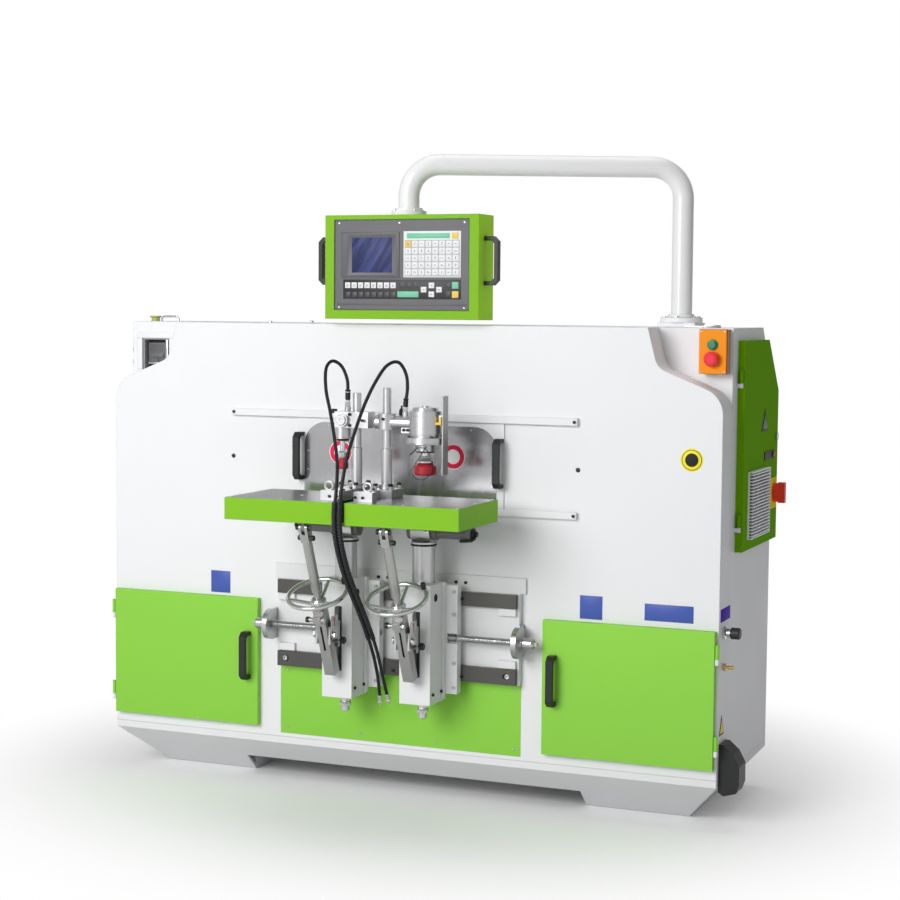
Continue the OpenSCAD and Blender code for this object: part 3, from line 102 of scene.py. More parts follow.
world = bpy.data.worlds.new("studio")
bpy.context.scene.world = world
world.use_nodes = True
tree = world.node_tree
tree.nodes.clear()
lit = put(tree, "ShaderNodeBackground", {"Color": (0.985, 0.985, 1.0, 1), "Strength": 0.30})
seen = put(tree, "ShaderNodeBackground", {"Color": (1, 1, 1, 1), "Strength": 1.0})
path = put(tree, "ShaderNodeLightPath")
either = maths(tree, "MAXIMUM")
mixed = put(tree, "ShaderNodeMixShader")
sky = put(tree, "ShaderNodeOutputWorld")
wire(tree, (path, "Is Camera Ray", either, 0), (path, "Is Transmission Ray", either, 1),
     (either, 0, mixed, 0), (lit, 0, mixed, 1), (seen, 0, mixed, 2), (mixed, 0, sky, 0))

FLOOR_HALF = 30.0
FLOOR_Z = -0.001         # just under the feet
FLOOR_TONE = (0.66, 0.66, 0.66, 1)
FLOOR_TONE_SEEN = (0.95, 0.95, 0.95, 1)

floor_mesh = bpy.data.meshes.new("studio_floor")
floor_mesh.from_pydata(
    [(x * FLOOR_HALF, y * FLOOR_HALF, FLOOR_Z) for x, y in ((-1, -1), (1, -1), (1, 1), (-1, 1))], [],
    [(0, 1, 2, 3)],
)
studio_floor = bpy.data.objects.new("studio_floor", floor_mesh)
bpy.context.scene.collection.objects.link(studio_floor)
floor_paint, tree = new_material("studio_floor")
place = put(tree, "ShaderNodeTexCoord")
reach = put(tree, "ShaderNodeVectorMath", operation="LENGTH")
fade = put(tree, "ShaderNodeMapRange", {"From Min": 0.7, "From Max": 1.7}, interpolation_type="SMOOTHSTEP")
path = put(tree, "ShaderNodeLightPath")
glossy = maths(tree, "MAXIMUM")
clean = maths(tree, "MAXIMUM")
gate = maths(tree, "MULTIPLY")
tone = put(tree, "ShaderNodeMix", {6: FLOOR_TONE, 7: FLOOR_TONE_SEEN}, data_type="RGBA")
matt = put(tree, "ShaderNodeBsdfPrincipled", {"Roughness": 0.7})
glow = put(tree, "ShaderNodeEmission", {"Color": (1, 1, 1, 1), "Strength": 1.0})
mixed = put(tree, "ShaderNodeMixShader")
out = put(tree, "ShaderNodeOutputMaterial")
wire(tree, (place, "Object", reach, 0), (reach, "Value", fade, "Value"), (path, "Is Camera Ray", tone, 0),
     (tone, 2, matt, "Base Color"), (path, "Is Camera Ray", glossy, 0), (path, "Is Glossy Ray", glossy, 1),
     (glossy, 0, clean, 0), (path, "Is Transmission Ray", clean, 1), (fade, "Result", gate, 0),
     (clean, 0, gate, 1), (gate, 0, mixed, 0), (matt, 0, mixed, 1), (glow, 0, mixed, 2), (mixed, 0, out, 0))
floor_mesh.materials.append(floor_paint)

for name, spot, target, size, power in (
    ("key_lamp", (-1.3, -5.2, 2.7), (0.1, -0.1, 0.75), 3.2, 222),
    ("fill_lamp", (3.8, -3.4, 2.2), (0.2, 0, 0.8), 3.0, 4),
    ("top_lamp", (0.2, 0.4, 4.6), (0, 0, 0.9), 3.4, 50),
    ("rear_lamp", (0.5, 4.6, 3.0), (0, 0.2, 0.9), 3.0, 22),
):
    lamp_data = bpy.data.lights.new(name, "AREA")
    lamp_data.shape = "DISK"
    lamp_data.size = size
    lamp_data.energy = power
    lamp = bpy.data.objects.new(name, lamp_data)
    lamp.location = spot
    lamp.rotation_euler = (Vector(target) - Vector(spot)).to_track_quat("-Z", "Y").to_euler()
    bpy.context.scene.collection.objects.link(lamp)

# Air hoses
# A blue-black polyurethane hose rises from the fitting on each clamp's cylinder, loops forward over
# the table's edge and falls between the tables. Below them it wears a spiral wrap, and it ends in a
# push-in fitting.

FRONT = -0.355      # Y of the cabinet's front plane


def mm(x, y, z):
    """A point given in millimetres, its depth measured from the front plane."""
    return Vector((x / 1000, y / 1000 + FRONT, z / 1000))


def in_mm(point):
    """The same values back from a point in metres."""
    return Vector((point.x * 1000, (point.y - FRONT) * 1000, point.z * 1000))


HOSE_D = 0.0095
WRAP_TOP, WRAP_FOOT = 0.905, 0.498      # heights of the wrap's ends
WRAP_FRONT = FRONT - 0.18               # the wrap is on the part that hangs in front of this depth
WRAP_WAVE = 700.0                       # radians of its winding to a metre of hose
left_route = [
    (-75, -190, 1193), (-77, -191, 1225), (-92, -197, 1262), (-112, -215, 1276), (-120, -238, 1254),
    (-108, -262, 1198), (-80, -292, 1138), (-48, -330, 1068), (-20, -370, 1000), (-8, -400, 935),
    (-7.5, -413, 870), (-7.5, -404, 800), (-7.5, -368, 725), (-7.5, -318, 655), (-7.5, -262, 588),
    (-7.5, -208, 520), (-7.5, -162, 452), (-7.5, -128, 382), (-7.5, -112, 320),
]
right_route = [
    (102, -190, 1163), (108, -191, 1205), (106, -198, 1245), (90, -214, 1276), (66, -240, 1266),
    (42, -268, 1216), (26, -298, 1158), (15, -330, 1092), (8, -364, 1024), (7.5, -396, 950),
    (7.5, -413, 870), (7.5, -404, 800), (7.5, -368, 725), (7.5, -318, 655), (7.5, -262, 588),
    (7.5, -208, 520), (7.5, -162, 452), (8, -128, 382), (15, -112, 325),
]


def hose_line(route):
    """Points on the smooth curve through the route, eight to each of its steps."""
    p = [mm(*q) for q in route]
    steps = 8
    line = []
    for i in range(len(p) - 1):
        a = 2 * p[0] - p[1] if i == 0 else p[i - 1]
        b, c = p[i], p[i + 1]
        d = 2 * p[i + 1] - p[i] if i == len(p) - 2 else p[i + 2]
        for k in range(steps):
            t = k / steps
            line.append(
                0.5 * (2 * b + (c - a) * t + (2 * a - 5 * b + 4 * c - d) * t * t
                       + (3 * b - a - 3 * c + d) * t * t * t)
            )
    line.append(p[-1])
    return line


def join_rings(bm, rings):
    """Faces between rings of points. The rings are equally long, or a single point closes one."""
    for low, high in zip(rings, rings[1:]):
        count = max(len(low), len(high))
        for k in range(count):
            n = (k + 1) % count
            if len(low) == 1:
                bm.faces.new((low[0], high[n], high[k]))
            elif len(high) == 1:
                bm.faces.new((low[k], low[n], high[0]))
            else:
                bm.faces.new((low[k], low[n], high[n], high[k]))


def closed_skin(bm, rings):
    """Faces between rings of points, and a cap over each end that is not a single point."""
    join_rings(bm, rings)
    if len(rings[0]) > 1:
        bm.faces.new(rings[0][::-1])
    if len(rings[-1]) > 1:
        bm.faces.new(rings[-1])


def swept(bm, line, radius, sides=12, stretch=1.0, shade=None):
    """A capped tube along a line. radius is a number or a function of the share of the way along."""
    rings, layer = [], None
    if shade:
        layer = bm.verts.layers.float.new(shade)
    side = Vector((1, 0, 0))
    run = 0.0
    for i, p in enumerate(line):
        ahead = (line[min(i + 1, len(line) - 1)] - line[max(i - 1, 0)]).normalized()
        side = side - ahead * side.dot(ahead)
        if side.length < 1e-4:
            side = ahead.orthogonal()
        side.normalize()
        other = ahead.cross(side)
        if i:
            run += (p - line[i - 1]).length
        r = radius(i / (len(line) - 1)) if callable(radius) else radius
        ring = []
        for k in range(sides):
            a = 2 * math.pi * k / sides
            v = bm.verts.new(p + side * (r * math.cos(a)) + other * (r * stretch * math.sin(a)))
            if layer:
                v[layer] = run
            ring.append(v)
        rings.append(ring)
    closed_skin(bm, rings)


def finished(name, bm, paint, body, smooth=35, bevel=0.0):
    """The piece's object, made from its mesh, painted, rounded and set on its body."""
    mesh = bpy.data.meshes.new(name)
    bmesh.ops.recalc_face_normals(bm, faces=bm.faces[:])
    bm.to_mesh(mesh)
    bm.free()
    mesh.materials.append(paint)
    piece = bpy.data.objects.new(name, mesh)
    bpy.context.scene.collection.objects.link(piece)
    if bevel:
        rounding = piece.modifiers.new("rounding", "BEVEL")
        rounding.width = bevel
        rounding.segments = 2
        rounding.limit_method = "ANGLE"
        rounding.angle_limit = math.radians(40)
        depsgraph = bpy.context.evaluated_depsgraph_get()
        rounded = bpy.data.meshes.new_from_object(piece.evaluated_get(depsgraph))
        piece.modifiers.clear()
        piece.data = rounded
    piece.data.shade_smooth()
    piece.data.set_sharp_from_angle(angle=math.radians(smooth))
    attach(piece, body)
    return piece


hose_skin, tree = new_material("polyurethane_hose")
grain = put(tree, "ShaderNodeTexCoord")
cloud = put(tree, "ShaderNodeTexNoise", {"Scale": 60.0, "Detail": 3.0})
tint = put(tree, "ShaderNodeMix", {6: (0.005, 0.006, 0.008, 1), 7: (0.012, 0.013, 0.017, 1)},
           data_type="RGBA")
bump = put(tree, "ShaderNodeBump", {"Strength": 0.12, "Distance": 0.0006})
skin = put(tree, "ShaderNodeBsdfPrincipled", {"Roughness": 0.5, "IOR": 1.4})
out = put(tree, "ShaderNodeOutputMaterial")
wire(tree, (grain, "Object", cloud, "Vector"), (cloud, "Fac", tint, 0), (tint, 2, skin, "Base Color"),
     (cloud, "Fac", bump, "Height"), (bump, 0, skin, "Normal"), (skin, 0, out, 0))

wrap_skin, tree = new_material("spiral_wrap")
along = put(tree, "ShaderNodeAttribute", attribute_name="run")
turns = maths(tree, "MULTIPLY", {1: WRAP_WAVE})
wave = maths(tree, "SINE")
bump = put(tree, "ShaderNodeBump", {"Strength": 0.7, "Distance": 0.0012})
skin = put(tree, "ShaderNodeBsdfPrincipled", {"Base Color": (0.005, 0.006, 0.009, 1), "Roughness": 0.55})
out = put(tree, "ShaderNodeOutputMaterial")
wire(tree, (along, "Fac", turns, 0), (turns, 0, wave, 0), (wave, 0, bump, "Height"),
     (bump, 0, skin, "Normal"), (skin, 0, out, 0))


def turned(bm, start, toward, profile, sides=32):
    """A turned shape: profile is a list of (millimetres along the axis, radius in millimetres)."""
    foot, axis = mm(*start), Vector(toward).normalized()
    side = axis.orthogonal().normalized()
    other = axis.cross(side)
    rings = []
    for along, radius in profile:
        centre = foot + axis * (along / 1000)
        if radius <= 0:
            rings.append([bm.verts.new(centre)])
            continue
        rings.append([
            bm.verts.new(centre + (side * math.cos(2 * math.pi * k / sides)
                                   + other * math.sin(2 * math.pi * k / sides)) * (radius / 1000))
            for k in range(sides)
        ])
    closed_skin(bm, rings)


def block(bm, low, high):
    """A rectangular block between two corners in millimetres."""
    corners = [bm.verts.new(mm(x, y, z)) for z in (low[2], high[2]) for y in (low[1], high[1])
               for x in (low[0], high[0])]
    for face in ((0, 2, 3, 1), (4, 5, 7, 6), (0, 1, 5, 4), (2, 6, 7, 3), (0, 4, 6, 2), (1, 3, 7, 5)):
        bm.faces.new([corners[i] for i in face])


nickel, tree = new_material("nickel_plate")
place = put(tree, "ShaderNodeTexCoord")
scuff = put(tree, "ShaderNodeTexNoise", {"Scale": 220.0, "Detail": 4.0})
rub = put(tree, "ShaderNodeMapRange", {"From Min": 0.35, "From Max": 0.7, "To Min": 0.16, "To Max": 0.34})
skin = put(tree, "ShaderNodeBsdfPrincipled", {"Base Color": (0.72, 0.70, 0.66, 1), "Metallic": 1.0})
out = put(tree, "ShaderNodeOutputMaterial")
wire(tree, (place, "Object", scuff, "Vector"), (scuff, "Fac", rub, "Value"), (rub, 0, skin, "Roughness"),
     (skin, 0, out, 0))

for side, route in (("left", left_route), ("right", right_route)):
    line = hose_line(route)
    bm = bmesh.new()
    swept(bm, line, HOSE_D / 2, sides=16)
    hose = finished(side + "_air_hose", bm, hose_skin, side + "_clamp_head", smooth=60)
    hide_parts(side + "_hose")

    wrapped = [p for p in line if WRAP_FOOT < p.z < WRAP_TOP and p.y < WRAP_FRONT]
    bm = bmesh.new()
    swept(bm, wrapped, lambda t: 0.0076 - 0.0016 * t, sides=20, stretch=1.1, shade="run")
    wrap = finished(side + "_hose_wrap", bm, wrap_skin, side + "_clamp_head", smooth=60)

    bm = bmesh.new()
    for height, radius in ((WRAP_TOP - 0.007, 0.0079), (WRAP_FOOT + 0.007, 0.0064)):
        near = min(range(len(line)), key=lambda i: abs(line[i].z - height) + (line[i].y > WRAP_FRONT))
        swept(bm, line[near - 1:near + 2], radius, sides=20, stretch=1.08)
        head = in_mm(line[near])
        block(bm, head - Vector((3, 11.5, 3)), head + Vector((3, -8, 3)))
    ties = finished(side + "_hose_ties", bm, wrap_skin, side + "_clamp_head")

    heading = (line[-1] - line[-2]).normalized()
    foot = in_mm(line[-1]) + heading * 0.3
    bm = bmesh.new()
    turned(bm, foot, heading, [(0, 5.2), (0, 6.4), (2, 6.5), (3, 6.2), (14, 6.2), (15.5, 5.4), (15.5, 4.6),
                               (17, 4.6)])
    turned(bm, foot + heading * 16.6, heading, [(0, 6.9), (6.4, 6.9)], sides=6)
    turned(bm, foot + heading * 22.8, heading, [(0, 4.6), (1, 4.2), (7, 4.2), (7.8, 3.6), (7.8, 2.4),
                                                (3, 2.4)])
    fitting = finished(side + "_hose_fitting", bm, nickel, side + "_clamp_head",
                       bevel=0.0003)

    length = sum((b - a).length for a, b in zip(line, line[1:]))

# Surface effects
# Sheet metal and castings have a small round on every edge, where the paint wears first. The floor
# of a joinery shop leaves fine dust on what faces up.


def group(name, takes, gives, kind="ShaderNodeTree"):
    """A node group, its input node and its output node. Each input is (name, type, value or None)."""
    made = bpy.data.node_groups.new(name, kind)
    for label, what, value in takes:
        socket = made.interface.new_socket(label, in_out="INPUT", socket_type="NodeSocket" + what)
        if value is not None:
            socket.default_value = value
    for label, what in gives:
        made.interface.new_socket(label, in_out="OUTPUT", socket_type="NodeSocket" + what)
    return made, put(made, "NodeGroupInput"), put(made, "NodeGroupOutput")


edge_round, start, end = group("edge_round", [("Radius", "Float", 0.0015), ("Wear", "Float", 0.5)],
                               [("Normal", "Vector"), ("Mask", "Float")])
soft = put(edge_round, "ShaderNodeBevel", samples=4)
shape = put(edge_round, "ShaderNodeNewGeometry")
same = put(edge_round, "ShaderNodeVectorMath", operation="DOT_PRODUCT")
turn = maths(edge_round, "SUBTRACT", {0: 1.0})
sharpen = maths(edge_round, "MULTIPLY", {1: 5.0}, clamp=True)
place = put(edge_round, "ShaderNodeTexCoord")
rub = put(edge_round, "ShaderNodeTexNoise", {"Scale": 38.0, "Detail": 5.0, "Roughness": 0.62})
patchy = put(edge_round, "ShaderNodeMapRange", {"From Min": 0.48, "From Max": 0.66})
both = maths(edge_round, "MULTIPLY")
worn = maths(edge_round, "MULTIPLY", clamp=True)
wire(edge_round, (start, "Radius", soft, "Radius"), (soft, 0, same, 0), (shape, "Normal", same, 1),
     (same, "Value", turn, 1), (turn, 0, sharpen, 0), (place, "Object", rub, "Vector"),
     (rub, "Fac", patchy, "Value"), (patchy, 0, both, 0), (sharpen, 0, both, 1), (both, 0, worn, 0),
     (start, "Wear", worn, 1), (soft, 0, end, "Normal"), (worn, 0, end, "Mask"))

shop_dust, start, end = group("shop_dust", [("Amount", "Float", 0.3)], [("Mask", "Float")])
place = put(shop_dust, "ShaderNodeTexCoord")
axes = put(shop_dust, "ShaderNodeSeparateXYZ")
upward = put(shop_dust, "ShaderNodeMapRange", {"From Min": 0.75, "From Max": 1.0})
drift = put(shop_dust, "ShaderNodeTexNoise", {"Scale": 9.0, "Detail": 8.0, "Roughness": 0.7})
thin = put(shop_dust, "ShaderNodeMapRange", {"From Min": 0.38, "From Max": 0.72})
both = maths(shop_dust, "MULTIPLY")
laid = maths(shop_dust, "MULTIPLY", clamp=True)
wire(shop_dust, (place, "Normal", axes, 0), (axes, "Z", upward, "Value"),
     (place, "Object", drift, "Vector"), (drift, "Fac", thin, "Value"), (upward, 0, both, 0),
     (thin, 0, both, 1), (both, 0, laid, 0), (start, "Amount", laid, 1), (laid, 0, end, "Mask"))

grain_skin, start, end = group("grain_skin", [("Fineness", "Float", 900.0),
                                              ("Stretch", "Vector", (1, 1, 1))],
                               [("Height", "Float"), ("Patch", "Float")])
place = put(grain_skin, "ShaderNodeTexCoord")
pulled = put(grain_skin, "ShaderNodeVectorMath", operation="MULTIPLY")
fine = put(grain_skin, "ShaderNodeTexNoise", {"Detail": 2.0, "Roughness": 0.55})
broad = put(grain_skin, "ShaderNodeTexNoise", {"Scale": 3.2, "Detail": 4.0, "Roughness": 0.6})
wire(grain_skin, (place, "Object", pulled, 0), (start, "Stretch", pulled, 1), (pulled, 0, fine, "Vector"),
     (start, "Fineness", fine, "Scale"), (place, "Object", broad, "Vector"), (fine, "Fac", end, "Height"),
     (broad, "Fac", end, "Patch"))


SAWDUST = (0.52, 0.47, 0.38, 1)


def coat(name, colour, rough=0.4, fineness=900.0, depth=0.00008, strength=0.25, vary=0.03, edge=0.0016,
         wear=0.35, under=(0.35, 0.35, 0.34), dust=0.25, gloss=0.0, metal=0.0, stretch=(1, 1, 1),
         spread=0.06, second=(), shine=0.35):
    """A finish on sheet metal, castings or machined steel: grain, patches, rounded edges, wear, dust.

    second is a list of other finishes on the same piece, each as (axis, sign, limit in metres, colour,
    metallic, roughness shift): it covers the places whose value on the axis is over the limit, or under
    it where the sign is -1. A later one covers an earlier one.
    """
    made, tree = new_material(name)
    skin_in = put(tree, "ShaderNodeGroup", {"Fineness": fineness, "Stretch": stretch}, node_tree=grain_skin)
    edges = put(tree, "ShaderNodeGroup", {"Radius": edge, "Wear": wear}, node_tree=edge_round)
    dusty = put(tree, "ShaderNodeGroup", {"Amount": dust}, node_tree=shop_dust)
    patch = put(tree, "ShaderNodeMix", {6: tuple(c * (1 - vary) for c in colour) + (1,),
                                        7: tuple(min(1.0, c * (1 + vary)) for c in colour) + (1,)},
                data_type="RGBA")
    rubbed = put(tree, "ShaderNodeMix", {7: tuple(under) + (1,)}, data_type="RGBA")
    soiled = put(tree, "ShaderNodeMix", {7: SAWDUST}, data_type="RGBA")
    matt = put(tree, "ShaderNodeMapRange", {"From Min": 0.3, "From Max": 0.7, "To Min": rough - spread,
                                            "To Max": rough + spread})
    bump = put(tree, "ShaderNodeBump", {"Strength": strength, "Distance": depth})
    skin = put(tree, "ShaderNodeBsdfPrincipled", {"Metallic": metal, "Coat Weight": gloss,
                                                  "Coat Roughness": 0.12,
                                                  "Specular IOR Level": 0.5 if metal else shine})
    out = put(tree, "ShaderNodeOutputMaterial")
    wire(tree, (skin_in, "Patch", patch, 0))
    base, metals, rougher = patch, None, matt
    for axis, sign, limit, other, other_metal, shift in second:
        where = put(tree, "ShaderNodeTexCoord")
        split = put(tree, "ShaderNodeSeparateXYZ")
        beyond = maths(tree, "GREATER_THAN" if sign > 0 else "LESS_THAN", {1: limit})
        over = put(tree, "ShaderNodeMix", {7: tuple(other) + (1,)}, data_type="RGBA")
        shift_metal = put(tree, "ShaderNodeMapRange", {"To Min": metal, "To Max": other_metal})
        shifted = maths(tree, "MULTIPLY", {1: shift})
        summed = maths(tree, "ADD", clamp=True)
        wire(tree, (where, "Object", split, 0), (split, axis, beyond, 0), (beyond, 0, over, 0),
             (base, 2, over, 6), (beyond, 0, shift_metal, "Value"))
        if metals:
            wire(tree, (metals, 0, shift_metal, "To Min"))
        wire(tree, (beyond, 0, shifted, 0), (shifted, 0, summed, 0), (rougher, 0, summed, 1))
        base, metals, rougher = over, shift_metal, summed
    if metals:
        wire(tree, (metals, 0, skin, "Metallic"))
    wire(tree, (base, 2, rubbed, 6), (edges, "Mask", rubbed, 0), (rubbed, 2, soiled, 6),
         (dusty, "Mask", soiled, 0), (soiled, 2, skin, "Base Color"),
         (skin_in, "Height" if metal else "Patch", matt, "Value"), (rougher, 0, skin, "Roughness"),
         (skin_in, "Height", bump, "Height"), (edges, "Normal", bump, "Normal"), (bump, 0, skin, "Normal"),
         (skin, 0, out, 0))
    return made


def dress(paint, *names):
    """Puts a finish on CAD nodes whose shape is kept."""
    for name in names:
        for place in nodes[name].material_slots:
            place.link = "DATA"
            place.material = paint


# Casing
# The body is folded sheet steel with a fine textured white powder coat, on a welded base with feet.
# The front is one pressed shell, and the rear covers close it.

white_coat = coat("white_powder_coat", (0.80, 0.805, 0.82), rough=0.48, fineness=1400, depth=0.00012,
                  strength=0.3, vary=0.012, edge=0.004, wear=0.12, dust=0.10)
base_coat = coat("white_base_coat", (0.78, 0.785, 0.80), rough=0.46, fineness=1200, depth=0.00012,
                 strength=0.3, vary=0.02, edge=0.003, wear=0.3, dust=0.2)
dress(white_coat, "front_shell", "side_panels", "rear_cover", "shield_rails")
dress(base_coat, "base_plinth", "inner_partitions")
frame_coat = coat("frame_primer", (0.10, 0.105, 0.11), rough=0.55, fineness=500, vary=0.1, edge=0.002,
                  dust=0.4)
dress(frame_coat, "machine_frame", "spindle_carriage")

# Doors and green covers
# Folded sheet doors in smooth lime enamel, the same on the cover below the slide bed; they keep their own
# material, and this enamel goes on the pendant's rear cover. The big door on the right side gets a darker,
# duller copy of it, which is painted shade.

lime_enamel = coat("lime_enamel", (0.212, 0.485, 0.02), rough=0.5, fineness=260, shine=0.15, depth=0.0002,
                   strength=0.1, edge=0.0022, wear=0.25, under=(0.55, 0.72, 0.4), dust=0.12)
# The side door's enamel is darker and duller than the lime enamel: painted shade. The yellow beyond X
# 0.9745 m is the switch's plate.
shaded_side_enamel = coat("side_door_shaded_enamel", (0.15, 0.40, 0.0), rough=0.7, fineness=260, shine=0.03, depth=0.0002,
                   strength=0.1, vary=0.04, edge=0.002, wear=0.3, under=(0.4, 0.55, 0.3), dust=0.12,
                   second=[("X", 1, 0.9745, (0.92, 0.84, 0.03), 0.0, 0.0)])
dress(shaded_side_enamel, "cabinet_door")
handle_nylon = coat("handle_nylon", (0.016, 0.016, 0.018), rough=0.42, fineness=1800, depth=0.0001,
                    vary=0.2, edge=0.003, wear=0.3, under=(0.06, 0.06, 0.06), dust=0.15)
dress(handle_nylon, "left_door_handle", "right_door_handle", "pendant_handles", "shield_handles",
      "power_socket")

# The casing's screws: low socket, cross and hexagon heads in black oxide or zinc, each turned at random
# as a fitter leaves them. One tree seats a head on every point of a mesh, along the direction it faces.


HEAD_SIDES = {"socket": 20, "pan": 20, "hex": 6}
HEAD_RISE = {"socket": 0.55, "pan": 0.26, "hex": 0.42}
FULL_TURN = 6.283        # radians


def head_shape(kind):
    """A screw head one unit across, seated at the origin and facing up."""
    bm = bmesh.new()
    rise = HEAD_RISE[kind]

    def ring(height, radius, sides=HEAD_SIDES[kind]):
        return [bm.verts.new((radius * math.cos(2 * math.pi * k / sides),
                              radius * math.sin(2 * math.pi * k / sides), height)) for k in range(sides)]

    if kind == "hex":
        washer = [ring(0, 0.62, 20), ring(0.07, 0.62, 20)]
        closed_skin(bm, washer)
        rings = [ring(0.07, 0.5), ring(rise - 0.05, 0.5), ring(rise, 0.44)]
    elif kind == "pan":
        rings = [ring(0, 0.5), ring(0.12, 0.48), ring(rise, 0.3)]
    else:
        rings = [ring(0, 0.5), ring(rise - 0.06, 0.5), ring(rise, 0.44), ring(rise, 0.27),
                 ring(rise - 0.3, 0.25)]
    closed_skin(bm, rings)
    if kind == "pan":
        for wide, deep in ((0.22, 0.045), (0.045, 0.22)):
            bar = [[bm.verts.new((x, y, rise + z)) for x, y in
                    ((-wide, -deep), (wide, -deep), (wide, deep), (-wide, deep))] for z in (-0.02, 0.004)]
            closed_skin(bm, bar)
    mesh = bpy.data.meshes.new("head_" + kind)
    bmesh.ops.recalc_face_normals(bm, faces=bm.faces[:])
    bm.to_mesh(mesh)
    bm.free()
    made = bpy.data.objects.new("head_" + kind, mesh)
    bpy.context.scene.collection.objects.link(made)
    return made


screw_heads = {kind: head_shape(kind) for kind in ("socket", "pan", "hex")}

seat_screws, start, end = group(
    "seat_screws", [("Seats", "Geometry", None), ("Head", "Object", None), ("Diameter", "Float", 0.008),
                    ("Finish", "Material", None), ("Seed", "Int", 1)],
    [("Screws", "Geometry")], "GeometryNodeTree",
)
head = put(seat_screws, "GeometryNodeObjectInfo", transform_space="ORIGINAL")
facing = put(seat_screws, "GeometryNodeInputNamedAttribute", {"Name": "facing"}, data_type="FLOAT_VECTOR")
aim = put(seat_screws, "FunctionNodeAlignRotationToVector", axis="Z")
spin = put(seat_screws, "FunctionNodeRandomValue", {3: FULL_TURN}, data_type="FLOAT")
twist = put(seat_screws, "FunctionNodeAxisAngleToRotation", {"Axis": (0, 0, 1)})
turned_head = put(seat_screws, "FunctionNodeRotateRotation", rotation_space="LOCAL")
placed = put(seat_screws, "GeometryNodeInstanceOnPoints")
real = put(seat_screws, "GeometryNodeRealizeInstances")
painted = put(seat_screws, "GeometryNodeSetMaterial")
wire(seat_screws, (start, "Head", head, "Object"), (start, "Seed", spin, "Seed"),
     (facing, "Attribute", aim, "Vector"), (spin, 1, twist, "Angle"), (aim, 0, turned_head, "Rotation"),
     (twist, 0, turned_head, "Rotate By"), (start, "Seats", placed, "Points"),
     (head, "Geometry", placed, "Instance"), (turned_head, 0, placed, "Rotation"),
     (start, "Diameter", placed, "Scale"), (placed, 0, real, 0), (real, 0, painted, "Geometry"),
     (start, "Finish", painted, "Material"), (painted, 0, end, "Screws"))

black_oxide = coat("black_oxide_screws", (0.03, 0.03, 0.032), rough=0.38, vary=0.2, edge=0.0004, wear=0.5,
                   under=(0.3, 0.3, 0.3), dust=0.05, metal=0.6)
zinc = coat("zinc_screws", (0.55, 0.56, 0.57), rough=0.3, vary=0.1, edge=0.0004, wear=0.2,
            under=(0.7, 0.7, 0.7), dust=0.05, metal=0.9)


def grown(piece, tree, given):
    """The mesh that a tree makes from a piece with the values given; its modifier goes again."""
    maker = piece.modifiers.new(tree.name, "NODES")
    maker.node_group = tree
    for socket in tree.interface.items_tree:
        if socket.in_out == "INPUT" and socket.name in given:
            maker[socket.identifier] = given[socket.name]
    made = bpy.data.meshes.new_from_object(piece.evaluated_get(bpy.context.evaluated_depsgraph_get()))
    piece.modifiers.clear()
    return made


def screws(name, body, seats, diameter, kind, paint, seed):
    """Screw heads on a body. seats is a list of (point in mm, direction that the head faces)."""
    mesh = bpy.data.meshes.new(name)
    mesh.from_pydata([mm(*seat) for seat, _ in seats], [], [])
    mesh.attributes.new("facing", "FLOAT_VECTOR", "POINT").data.foreach_set(
        "vector", [c for _, way in seats for c in way])
    piece = bpy.data.objects.new(name, mesh)
    bpy.context.scene.collection.objects.link(piece)
    piece.data = grown(piece, seat_screws, {"Head": screw_heads[kind], "Diameter": diameter / 1000,
                                            "Finish": paint, "Seed": seed})
    piece.data.shade_smooth()
    piece.data.set_sharp_from_angle(angle=math.radians(35))
    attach(piece, body)


# Rear access panels: folded from sheet with a raised field, and screwed on. Each has a bent pull.

REAR = 575                  # depth of the rear sheet, in mm
TO_BACK = (0, 1, 0)         # the direction that a head on the rear sheet faces
REAR_OPENINGS = ((-900, -130, 560, 1150), (130, 900, 560, 1150), (-900, -330, 190, 500),
                 (330, 900, 190, 500))
bm = bmesh.new()
for x0, x1, z0, z1 in REAR_OPENINGS:
    block(bm, (x0, REAR - 0.2, z0), (x1, REAR + 2.4, z1))
    block(bm, (x0 + 12, REAR + 2.4, z0 + 12), (x1 - 12, REAR + 3.2, z1 - 12))
finished("rear_access_panels", bm, white_coat, "cabinet", bevel=0.0008)
bm = bmesh.new()
for x, z in ((-515, 1090), (515, 1090), (-615, 460), (615, 460)):
    arch = [mm(x - 55, REAR + 3, z), mm(x - 55, REAR + 18, z), mm(x - 50, REAR + 26, z),
            mm(x - 40, REAR + 30, z), mm(x + 40, REAR + 30, z), mm(x + 50, REAR + 26, z),
            mm(x + 55, REAR + 18, z), mm(x + 55, REAR + 3, z)]
    swept(bm, arch, 0.005, sides=12)
    for foot in (x - 55, x + 55):
        turned(bm, (foot, REAR + 3, z), TO_BACK, [(0, 9), (2.5, 9), (3.5, 6)], sides=20)
finished("rear_panel_pulls", bm, handle_nylon, "cabinet", smooth=60)
seats = []
for x0, x1, z0, z1 in REAR_OPENINGS:
    for i in range(4):
        for z in (z0 + 8, z1 - 8):
            seats.append(((x0 + 8 + (x1 - x0 - 16) * i / 3, REAR + 2.4, z), TO_BACK))
    for x in (x0 + 8, x1 - 8):
        seats.append(((x, REAR + 2.4, (z0 + z1) / 2), TO_BACK))
screws("rear_panel_screws", "cabinet", seats, 9, "pan", zinc, seed=3)

# Dust spigot: a rolled collar with a bead for the hose band, on a ring that hexagon screws hold to the
# rear sheet.


def round_circle(count, radius, first):
    """Evenly spaced points on a circle, the first of them at an angle in degrees."""
    turns = (math.radians(first + 360 / count * k) for k in range(count))
    return [(radius * math.cos(a), radius * math.sin(a)) for a in turns]


